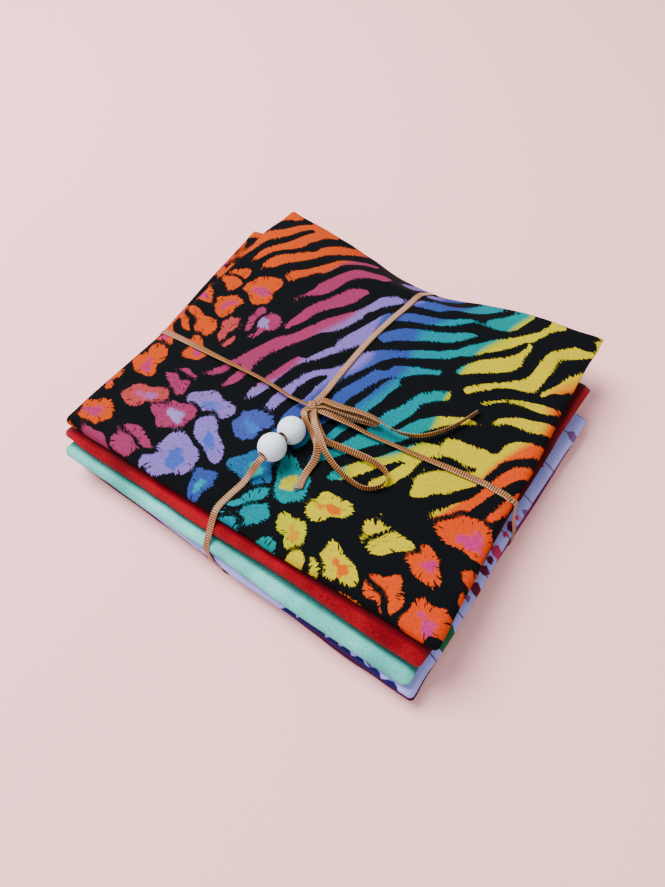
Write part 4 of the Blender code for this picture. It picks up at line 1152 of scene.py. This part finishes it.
def point_field(tree, name, output="Fac"):
    """Value of one of the mesh's point fields."""
    return add_node(tree, "ShaderNodeAttribute", attribute_name=name).outputs[output]


def cloth_place(tree):
    """Place on the flat cloth or ribbon in millimetres, from its UV map."""
    return add_node(tree, "ShaderNodeUVMap", uv_map="cloth").outputs[0]


def object_place(tree):
    """Place in the object's own frame, in metres."""
    return add_node(tree, "ShaderNodeTexCoord").outputs["Object"]


def stops_colour(tree, value, stops, interpolation="LINEAR"):
    """Colour of a ramp through the (place, hex colour) stops."""
    ramp_node = add_node(tree, "ShaderNodeValToRGB", {0: value})
    elements = ramp_node.color_ramp.elements
    ramp_node.color_ramp.interpolation = interpolation
    while len(elements) > 1:
        elements.remove(elements[-1])
    elements[0].position = stops[0][0]
    elements[0].color = linear(stops[0][1])
    for place, colour in stops[1:]:
        elements.new(place).color = linear(colour)
    return ramp_node.outputs[0]


def set_bump(tree, shader, height, depth, strength):
    """Drive the shader's normal by a bump of this depth in millimetres."""
    inputs = {"Height": height, "Distance": depth * MM, "Strength": strength}
    bump = add_node(tree, "ShaderNodeBump", inputs)
    tree.links.new(bump.outputs[0], shader.inputs["Normal"])


def new_material(name, roughness, specular=0.5, sheen=0.0, sheen_roughness=0.5):
    """Material with a principled shader; gives it with its node tree and shader."""
    material = bpy.data.materials.new(name)
    material.use_nodes = True
    shader = material.node_tree.nodes["Principled BSDF"]
    values = {"Roughness": roughness, "Specular IOR Level": specular, "Sheen Weight": sheen,
              "Sheen Roughness": sheen_roughness}
    for key, value in values.items():
        shader.inputs[key].default_value = value
    return material, material.node_tree, shader


def weave_bump(tree, shader, place, depth, strength):
    """Plain weave: crossing rows of threads as a bump."""
    warp, weft = (bands(tree, place, BANDS / THREAD, 0.6, 1.0, 2.0, across) for across in "XY")
    both = compute(tree, "ADD", warp, weft)
    height = compute(tree, "ADD", both, noise(tree, place, 1.6, 4.0))
    set_bump(tree, shader, height, depth, strength)


def bare_dashes(tree, hair, motif, on_spot):
    """1 in the dashes that a spot's ink leaves open near its edge, about a millimetre across."""
    inputs = {"Vector": hair, "Scale": 0.55, "Randomness": 1.0}
    cells = add_node(tree, "ShaderNodeTexVoronoi", inputs)
    dash = remap(tree, cells.outputs["Distance"], (0.26, 0.33), (1.0, 0.0))
    pick = add_node(tree, "ShaderNodeSeparateColor", {0: cells.outputs["Color"]})
    chosen = compute(tree, "LESS_THAN", pick.outputs[0], 0.58)
    near_rim = remap(tree, motif, (2.2, 3.4), (1.0, 0.0))
    open_dash = compute(tree, "MULTIPLY", dash, chosen)
    return compute(tree, "MULTIPLY", open_dash, compute(tree, "MULTIPLY", near_rim, on_spot))


def print_material(ground):
    """Screen-printed quilting cotton: bright ink spots and strokes with combed, hairy edges."""
    material, tree, shader = new_material("screen_printed_cotton", 0.95, specular=0.06)
    place = cloth_place(tree)
    weave_bump(tree, shader, place, 0.05, 0.35)
    motif, core, hue = (point_field(tree, name) for name in ("motif", "core", "hue"))
    hair = point_field(tree, "hair", "Vector")
    # The ink's edge moves by the comb, less on stripes, and more in some places than in others.
    comb = remap(tree, noise(tree, hair, 1.0, 2.0, 0.6), NOISE_SPAN, (-1.35, 1.0))
    on_spot = compute(tree, "GREATER_THAN", core, 0.6 * OUTSIDE)
    calm = remap(tree, on_spot, (0.0, 1.0), (0.90, 1.0))
    ragged = remap(tree, noise(tree, place, 0.13, 1.0), (0.40, 0.60), (0.25, 1.0))
    tuft = compute(tree, "MULTIPLY", compute(tree, "MULTIPLY", comb, ragged), calm)
    ink = remap(tree, compute(tree, "ADD", motif, tuft), INK_EDGE)
    closed = compute(tree, "SUBTRACT", 1.0, bare_dashes(tree, hair, motif, on_spot))
    cover = compute(tree, "MULTIPLY", ink, closed)
    # A heart of another colour with a clouded edge.
    cloud = remap(tree, noise(tree, place, 0.30, 3.0), NOISE_SPAN, (-1.6, 1.6))
    heart = remap(tree, compute(tree, "ADD", core, cloud), (-0.5, 1.0), (0.0, 0.92))
    main_colour = stops_colour(tree, hue, HUE_STOPS)
    colour = mix(tree, heart, main_colour, stops_colour(tree, hue, CORE_STOPS))
    shade = remap(tree, noise(tree, place, 0.9, 5.0), NOISE_SPAN, (0.78, 1.12))
    toned = mix(tree, 1.0, colour, shade, "MULTIPLY")
    tree.links.new(mix(tree, cover, ground, toned), shader.inputs["Base Color"])
    return material


def brushed_material(colour, dye):
    """Brushed cotton or flannel: one dyed colour, clouded a little, with a raised nap, painted shade
    in the nap's hollows, and painted shade speckled by the nap under the next cloth.
    """
    material, tree, shader = new_material(dye.name, dye.roughness, specular=0.05,
                                          sheen=dye.sheen, sheen_roughness=0.6)
    place = cloth_place(tree)
    fine = noise(tree, place, 1.0 / dye.nap, 6.0, 0.75)
    both = compute(tree, "ADD", fine, noise(tree, place, 0.05))
    # Painted shade in the nap's hollows, where the bump noise is low, also clouded at random by a
    # coarser noise.
    nap_shaded_and_clouded = mix(tree, remap(tree, both, (0.82, 1.14)), dye.dark, colour)
    # Painted shade under the next cloth, speckled by the nap.
    shade_speck = compute(tree, "MULTIPLY_ADD", fine, 1.1, point_field(tree, "tucked"))
    tucked = remap(tree, shade_speck, (1.02, 1.45), (0.0, 0.86))
    tree.links.new(mix(tree, tucked, nap_shaded_and_clouded, dye.deepest), shader.inputs["Base Color"])
    set_bump(tree, shader, fine, dye.depth, 0.8)
    return material


def lilac_material(ground):
    """Printed quilting cotton: navy scallops, loose flowers and plum lines on lilac-white."""
    material, tree, shader = new_material("floral_printed_cotton", 0.9, specular=0.1, sheen=0.02)
    place = cloth_place(tree)
    weave_bump(tree, shader, place, 0.04, 0.3)
    shade = mix(tree, noise(tree, place, 0.10), "#8488c8", ground)
    plan = add_node(tree, "ShaderNodeSeparateXYZ", {0: point_field(tree, "place", "Vector")})
    slant = compute(tree, "MULTIPLY_ADD", plan.outputs[0], 0.25, plan.outputs[1])
    line = remap(tree, compute(tree, "PINGPONG", slant, 10.2), (0.22, 0.40), (0.85, 0.0))
    lined = mix(tree, line, shade, "#440d36")
    bloom_colour = stops_colour(tree, point_field(tree, "tint"), BLOOM_STOPS, "CONSTANT")
    bloom = remap(tree, point_field(tree, "bloom"), FLOWER_EDGE)
    navy = remap(tree, point_field(tree, "navy"), FLOWER_EDGE)
    finished = mix(tree, navy, mix(tree, bloom, lined, bloom_colour), "#12084e")
    tree.links.new(finished, shader.inputs["Base Color"])
    return material


def ribbon_material(colour, pitch):
    """Grosgrain ribbon: copper satin yarn in strong cross ribs, with painted shade between the ribs
    and a painted highlight along both edges.
    """
    material, tree, shader = new_material("grosgrain_satin", 0.33, specular=0.62,
                                          sheen=0.08, sheen_roughness=0.4)
    place = cloth_place(tree)
    ribs = bands(tree, place, BANDS / pitch, 0.35)
    base = mix(tree, noise(tree, place, 0.16, 3.0), "#92521f", colour)
    parts = add_node(tree, "ShaderNodeSeparateXYZ", {0: place})
    off_middle = compute(tree, "ABSOLUTE", parts.outputs[1])
    # Painted highlight along both edges.
    edge_highlighted = mix(tree, remap(tree, off_middle, (1.15, 1.38), (0.0, 0.75)), base, "#d49a4e")
    # Painted shade in the grooves between the ribs.
    rib_grooves_shaded = mix(tree, remap(tree, ribs, (0.30, 0.70)), "#34190a", edge_highlighted)
    tree.links.new(rib_grooves_shaded, shader.inputs["Base Color"])
    set_bump(tree, shader, ribs, 0.20, 0.8)
    return material


def bead_material():
    """Turned wooden bead in matt white paint, with bare wood inside its bore and faint grain."""
    material, tree, shader = new_material("painted_beech", 0.55, specular=0.35)
    grain = noise(tree, object_place(tree), 420.0, 4.0, 0.6)
    paint = mix(tree, grain, "#c8d4e6", "#e6f0ff")
    wood = mix(tree, point_field(tree, "bare"), paint, "#c39a72")
    tree.links.new(wood, shader.inputs["Base Color"])
    set_bump(tree, shader, bands(tree, cloth_place(tree), 0.9, 3.0, 3.0), 0.05, 0.25)
    return material


def floor_material(colour):
    """Matt painted board."""
    material, tree, shader = new_material("painted_floor", 0.9)
    shader.inputs["Base Color"].default_value = linear(colour)
    set_bump(tree, shader, noise(tree, object_place(tree), 300.0), 0.02, 0.1)
    return material


# ---------------------------------------------------------------- ribbons

SAMPLES_PER_SPAN = 6
BLEND_SAMPLES = 12.0
SMOOTH_SAMPLES = 3
CAST_REACH = 6.0
CAST_PLACES = (-0.45, -0.2, 0.0, 0.2, 0.45)
RIBBON_AIR = 0.06
# Section of the ribbon, in half widths and half thicknesses.
RIBBON_SECTION = (
    (1.0, 0.0), (0.94, 1.0), (0.5, 0.8), (0.0, 0.75), (-0.5, 0.8), (-0.94, 1.0),
    (-1.0, 0.0), (-0.94, -1.0), (-0.5, -0.8), (0.0, -0.75), (0.5, -0.8), (0.94, -1.0),
)
# Free pieces of the bow: their route, what is at their far end, and the slant of the cut there.
BOW = (
    ("bow_loop_large", LOOP_LARGE, "object", 0.0),
    ("bow_loop_small", LOOP_SMALL, "object", 0.0),
    ("bow_tail_short", TAIL_SHORT, "bare", 1.2),
    ("bow_tail_long", TAIL_LONG, "bare", -0.9),
)
# Bands wound round the knot: the turn of each, its reach and rise, and the solid it stands for.
KNOT_CENTRE = (-2.7, -14.4, 30.6)
KNOT_WRAPS = (
    ("knot_wrap_inner", 0.4, 2.5, 1.9, []),
    ("knot_wrap_outer", -0.9, 2.9, 2.3, ["ribbon_knot"]),
)
KNOT_THICKER = 1.3
TURN_POINTS = 49


def smooth_route(stations):
    """Catmull-Rom curve through the stations, with their other values carried along."""
    points = np.array(stations, float)
    before = 2.0 * points[:1] - points[1:2]
    after = 2.0 * points[-1:] - points[-2:-1]
    ends = np.concatenate([before, points, after])
    t = np.linspace(0.0, 1.0, SAMPLES_PER_SPAN, endpoint=False)[None, :, None]
    p0, p1, p2, p3 = (ends[k:len(ends) - 3 + k, None, :] for k in range(4))
    curve = 0.5 * (2.0 * p1 + (p2 - p0) * t + (2.0 * p0 - 5.0 * p1 + 4.0 * p2 - p3) * t ** 2
                   + (3.0 * p1 - p0 - 3.0 * p2 + p3) * t ** 3)
    curve = np.concatenate([curve.reshape(-1, 7), points[-1:]])
    return curve[:, :3], curve[:, 3:6], curve[:, 6] > 0.75


def ribbon_frame(path, normal):
    """Unit normal and unit width direction at each point of a route."""
    tangent = unit(np.gradient(path, axis=0))
    normal = unit(normal - tangent * np.sum(normal * tangent, axis=1, keepdims=True))
    return normal, np.cross(tangent, normal)


def rest_on(surface, path, normal, side, rests, rise):
    """Slide resting points along their normals onto the surface, as a taut ribbon does.

    Each point takes the highest slide of its neighbours, which are then averaged and fade out
    along the points that don't rest.
    """
    slide = np.zeros(len(path))
    for k in np.flatnonzero(rests):
        reach = -CAST_REACH
        for sideways in CAST_PLACES:
            start = path[k] + side[k] * sideways * RIBBON_WIDTH + normal[k] * CAST_REACH
            _, _, _, run = surface.ray_cast(Vector(start), Vector(-normal[k]), 2.0 * CAST_REACH)
            if run is not None:
                reach = max(reach, CAST_REACH - run)
        if reach > -CAST_REACH:
            slide[k] = reach + rise
    places = np.arange(len(path))
    window = [np.clip(places + shift, 0, len(path) - 1)
              for shift in range(-SMOOTH_SAMPLES, SMOOTH_SAMPLES + 1)]
    highest = np.max([np.where(rests[w], slide[w], slide) for w in window], axis=0)
    mean = np.mean([np.where(rests[w], highest[w], highest) for w in window], axis=0)
    resting = np.flatnonzero(rests)
    nearest = resting[np.argmin(np.abs(places[:, None] - resting[None, :]), axis=1)]
    fade = 1.0 - smooth_step(np.abs(places - nearest) / BLEND_SAMPLES)
    return path + normal * (mean[nearest] * fade)[:, None]


def ribbon_mesh(path, normal, side, thickness, slant=0.0):
    """Closed band with a section of flat faces and two soft edges, and UVs in millimetres.

    The far end is cut at a slant: its edges lie this far before and behind its middle.
    """
    length = running_length(*np.diff(path, axis=0).T)
    section = 0.5 * np.array(RIBBON_SECTION) * (RIBBON_WIDTH, thickness)
    across, up = section[None, :, :1], section[None, :, 1:]
    points = path[:, None, :] + across * side[:, None, :] + up * normal[:, None, :]
    tangent = unit(path[-1] - path[-2])
    points[-1] += slant * np.array(RIBBON_SECTION)[:, :1] * tangent
    rows, columns = points.shape[:2]
    index = np.arange(rows * columns).reshape(rows, columns)
    around = np.concatenate([index, index[:, :1]], axis=1)
    faces = grid_quads(around).tolist() + [index[0].tolist(), index[-1, ::-1].tolist()]
    uv = np.stack([np.repeat(length, columns), np.tile(section[:, 0], rows)], axis=1)
    return points.reshape(-1, 3), faces, uv, length[-1]


def ribbon_piece(name, path, way, thickness, material, nodes, slant=0.0):
    """Ribbon along a path, facing the given way. Gives the piece and its length."""
    normal, side = ribbon_frame(path, way)
    points, faces, uv, length = ribbon_mesh(path, normal, side, thickness, slant)
    return finish_piece(name, points, faces, material, nodes, uv), length


def make_band(name, stations, surface, thickness, material):
    """Held ribbon strand that lies on the cloths where its stations rest."""
    path, way, rests = smooth_route(stations)
    normal, side = ribbon_frame(path, way)
    path = rest_on(surface, path, normal, side, rests, thickness / 2.0 + RIBBON_AIR)
    ribbon_piece(name + "_woven", path, way, thickness, material, [name])


def make_free_end(name, stations, slant, thickness, material):
    """Free loop or tail of the bow: an open route in the air."""
    path, way, _ = smooth_route(stations)
    piece, length = ribbon_piece(name + "_woven", path, way, thickness, material, [name], slant)


def make_knot(thickness, material):
    """Wrapped knot: two bands of ribbon wound round its middle, one over the other."""
    turn = np.linspace(0.0, 2.0 * math.pi, TURN_POINTS)
    for name, tilt, reach, rise, nodes in KNOT_WRAPS:
        out = np.cos(turn)[:, None] * np.array([math.cos(tilt), math.sin(tilt), 0.0])
        up = np.sin(turn)[:, None] * np.array(UP)
        path = np.array(KNOT_CENTRE) + reach * out + rise * up
        ribbon_piece(name, path, out + up, thickness * KNOT_THICKER, material, nodes)


def cloth_surface():
    """Search tree over all the dressed cloths, in bundle millimetres."""
    points = []
    faces = []
    count = 0
    for row in CLOTHS:
        mesh = bpy.data.objects[row.node + "_sheet"].data
        place = np.empty(len(mesh.vertices) * 3)
        mesh.vertices.foreach_get("co", place)
        place = place.reshape(-1, 3) / MM + OUTLINE_MIDDLE
        corner = np.empty(len(mesh.loops), dtype=np.int32)
        mesh.loops.foreach_get("vertex_index", corner)
        points.append(place)
        faces.append(corner.reshape(-1, 4) + count)
        count += len(place)
    return BVHTree.FromPolygons(np.concatenate(points).tolist(), np.concatenate(faces).tolist())


# ---------------------------------------------------------------- operators

# The picture's camera: its place in bundle millimetres and two of its axes.
CAMERA_PLACE = (98.0, -147.65, 259.2)
CAMERA_RIGHT = (0.84198918, 0.53913755, -0.01961926)
CAMERA_UP = (-0.44404029, 0.71320933, 0.54236581)
CAMERA_LENS = 35.46
CAMERA_SENSOR = 36.0

BEAD_LIP_ANGLE = 0.06
BEAD_POINTS = 33

FLOOR_HALF = 1.6
# Soft lights: place, width and share of the key light's power.
LIGHTS = (
    ("key_light", (-0.55, 0.05, 0.95), 0.75, 1.0),
    ("fill_light", (0.15, -0.85, 0.60), 0.8, 0.13),
)
SKY_COLOUR = "#fbf9f8"


def ribbon_settings(context):
    """Thickness of the ribbon in millimetres and its material, made on first use."""
    settings = context.scene.bundle_ribbon
    material = bpy.data.materials.get("grosgrain_satin")
    if material is None:
        material = ribbon_material(settings.colour, settings.rib_pitch / MM)
    return settings.thickness / MM, material


class BUNDLE_OT_camera(bpy.types.Operator):
    """Camera at the viewing angle of the picture"""

    bl_idname = "bundle.camera"
    bl_label = "Camera"

    def execute(self, context):
        lens = bpy.data.cameras.new("camera")
        lens.sensor_fit = "HORIZONTAL"
        lens.sensor_width = CAMERA_SENSOR
        lens.lens = CAMERA_LENS
        lens.clip_start = 0.01
        camera = bpy.data.objects.new("camera", lens)
        right, up = Vector(CAMERA_RIGHT), Vector(CAMERA_UP)
        turn = Matrix((right, up, right.cross(up))).transposed()
        place = Matrix.Translation(Vector(to_world(CAMERA_PLACE)))
        camera.matrix_world = place @ turn.to_4x4()
        context.scene.collection.objects.link(camera)
        context.scene.camera = camera
        return {"FINISHED"}


class BUNDLE_OT_bow(bpy.types.Operator):
    """Two loops and two free tails of the bow"""

    bl_idname = "bundle.bow"
    bl_label = "Bow"

    def execute(self, context):
        thickness, material = ribbon_settings(context)
        for name, stations, far_end, slant in BOW:
            make_free_end(name, stations, slant, thickness, material)
        return {"FINISHED"}


class BUNDLE_OT_cloths(bpy.types.Operator):
    """The five folded cottons"""

    bl_idname = "bundle.cloths"
    bl_label = "Cloths"

    def execute(self, context):
        colours = context.scene.bundle_cloth
        finishes = {
            "cloth_print": print_material(colours.ground),
            "cloth_red": brushed_material(colours.red, RED_DYE),
            "cloth_mint": brushed_material(colours.mint, MINT_DYE),
            "cloth_lilac": lilac_material(colours.lilac),
            "cloth_plum": brushed_material(colours.plum, PLUM_DYE),
        }
        base = FLOOR_RISE
        for number, row in enumerate(CLOTHS):
            grid, cut, plan = cloth_grid(row, base)
            points, faces = shell(grid, row.ply)
            # The tucked field is the share of painted shade under the next cloth.
            fields = {"uv": cut, "tucked": shade_field(number, grid)}
            if row.node == "cloth_print":
                fields = {"uv": cut, **print_fields(plan)}
            elif row.node == "cloth_lilac":
                fields.update(lilac_fields(plan))
            both_faces = {key: np.concatenate([value.reshape((-1,) + value.shape[2:])] * 2)
                          for key, value in fields.items()}
            piece = finish_piece(row.node + "_sheet", points, faces, finishes[row.node],
                                 [row.node], both_faces.pop("uv"), both_faces)
            base += row.height + CLOTH_GAP
        return {"FINISHED"}


class BUNDLE_OT_ribbon(bpy.types.Operator):
    """The two strands round the bundle and the knot"""

    bl_idname = "bundle.ribbon"
    bl_label = "Ribbon and knot"

    def execute(self, context):
        thickness, material = ribbon_settings(context)
        surface = cloth_surface()
        make_band("ribbon_front_right", FRONT_RIGHT, surface, thickness, material)
        make_band("ribbon_back_left", BACK_LEFT, surface, thickness, material)
        make_knot(thickness, material)
        return {"FINISHED"}


def bead_profile():
    """Half section of a bead from one lip over the outside to the other and back in the bore.

    Columns: distance from the axis, place along it, and how bare the wood is.
    """
    radius = BEAD_DIAMETER / 2.0
    bore = BEAD_BORE / 2.0
    reach = math.acos(bore / radius) - BEAD_LIP_ANGLE
    outer = np.linspace(-reach, reach, BEAD_POINTS)
    lip = radius * math.sin(reach)
    return np.concatenate([
        np.stack([radius * np.cos(outer), radius * np.sin(outer), 0.0 * outer], axis=1),
        [[bore + 0.12, lip + 0.10, 0.5], [bore, lip - 0.35, 1.0], [bore, 0.0, 1.0],
         [bore, -lip + 0.35, 1.0], [bore + 0.12, -lip - 0.10, 0.5]],
    ])


class BUNDLE_OT_beads(bpy.types.Operator):
    """Two painted wooden beads on the front strand"""

    bl_idname = "bundle.beads"
    bl_label = "Beads"

    def execute(self, context):
        material = bead_material()
        profile = bead_profile()
        turn = np.linspace(0.0, 2.0 * math.pi, TURN_POINTS)[:-1]
        rows, columns = len(profile), len(turn)
        index = np.arange(rows * columns).reshape(rows, columns)
        index = np.pad(index, (0, 1), mode="wrap")
        faces = grid_quads(index, flip=True).tolist()
        around = np.tile(turn * BEAD_DIAMETER / 2.0, rows)
        uv = np.stack([np.repeat(profile[:, 1], columns), around], axis=1)
        fields = {"bare": np.repeat(profile[:, 2], columns)}
        for bead in (BEAD_FAR, BEAD_NEAR):
            axis = unit(bead.bore_run)
            first = unit(np.cross(axis, UP))
            second = np.cross(axis, first)
            spoke = np.cos(turn)[:, None] * first + np.sin(turn)[:, None] * second
            grid = np.array(bead.centre) + profile[:, None, :1] * spoke + profile[:, None, 1:2] * axis
            finish_piece(bead.name + "_turned", grid.reshape(-1, 3), faces, material,
                         [bead.name], uv, fields)
        return {"FINISHED"}


class BUNDLE_OT_stage(bpy.types.Operator):
    """Pale floor and soft light"""

    bl_idname = "bundle.stage"
    bl_label = "Floor and light"

    def execute(self, context):
        settings = context.scene.bundle_stage
        steps = np.linspace(-FLOOR_HALF, FLOOR_HALF, 3)
        points = [(x, y, 0.0) for x in steps.tolist() for y in steps.tolist()]
        mesh = bpy.data.meshes.new("floor")
        mesh.from_pydata(points, [], grid_quads(np.arange(9).reshape(3, 3)).tolist())
        mesh.materials.append(floor_material(settings.floor))
        floor = bpy.data.objects.new("floor", mesh)
        context.scene.collection.objects.link(floor)
        for name, place, width, share in LIGHTS:
            lamp = bpy.data.lights.new(name, "AREA")
            lamp.shape = "DISK"
            lamp.size = width
            lamp.energy = settings.key_power * share
            holder = bpy.data.objects.new(name, lamp)
            holder.location = place
            holder.rotation_euler = (-Vector(place)).to_track_quat("-Z", "Y").to_euler()
            context.scene.collection.objects.link(holder)
        world = bpy.data.worlds.new("even_light")
        world.use_nodes = True
        sky = world.node_tree.nodes["Background"]
        sky.inputs["Color"].default_value = linear(SKY_COLOUR)
        sky.inputs["Strength"].default_value = settings.sky
        context.scene.world = world
        return {"FINISHED"}


class BUNDLE_PT_panel(bpy.types.Panel):
    """Sizes, colours and steps of the bundle"""

    bl_idname = "BUNDLE_PT_panel"
    bl_label = "Fat quarter bundle"
    bl_space_type = "VIEW_3D"
    bl_region_type = "UI"
    bl_category = "Bundle"

    def draw(self, context):
        for group, names in (
            (context.scene.bundle_cloth, ("ground", "red", "mint", "lilac", "plum")),
            (context.scene.bundle_ribbon, ("thickness", "rib_pitch", "colour")),
            (context.scene.bundle_stage, ("floor", "key_power", "sky")),
        ):
            for name in names:
                self.layout.prop(group, name)
        for operator in STEPS:
            self.layout.operator(operator.bl_idname)


STEPS = (
    BUNDLE_OT_camera,
    BUNDLE_OT_bow,
    BUNDLE_OT_cloths,
    BUNDLE_OT_ribbon,
    BUNDLE_OT_beads,
    BUNDLE_OT_stage,
)
GROUPS = (
    ("bundle_cloth", BundleClothSettings),
    ("bundle_ribbon", BundleRibbonSettings),
    ("bundle_stage", BundleStageSettings),
)


def register():
    """Register the settings, steps and panel."""
    for name, group in GROUPS:
        bpy.utils.register_class(group)
        setattr(bpy.types.Scene, name, bpy.props.PointerProperty(type=group))
    for step in STEPS:
        bpy.utils.register_class(step)
    bpy.utils.register_class(BUNDLE_PT_panel)


def unregister():
    """Take the panel, steps and settings out again."""
    bpy.utils.unregister_class(BUNDLE_PT_panel)
    for step in reversed(STEPS):
        bpy.utils.unregister_class(step)
    for name, group in reversed(GROUPS):
        delattr(bpy.types.Scene, name)
        bpy.utils.unregister_class(group)


def main():
    """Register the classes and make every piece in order."""
    register()
    bpy.ops.bundle.camera()
    bpy.ops.bundle.bow()
    bpy.ops.bundle.cloths()
    bpy.ops.bundle.ribbon()
    bpy.ops.bundle.beads()
    bpy.ops.bundle.stage()


if __name__ == "__main__":
    main()
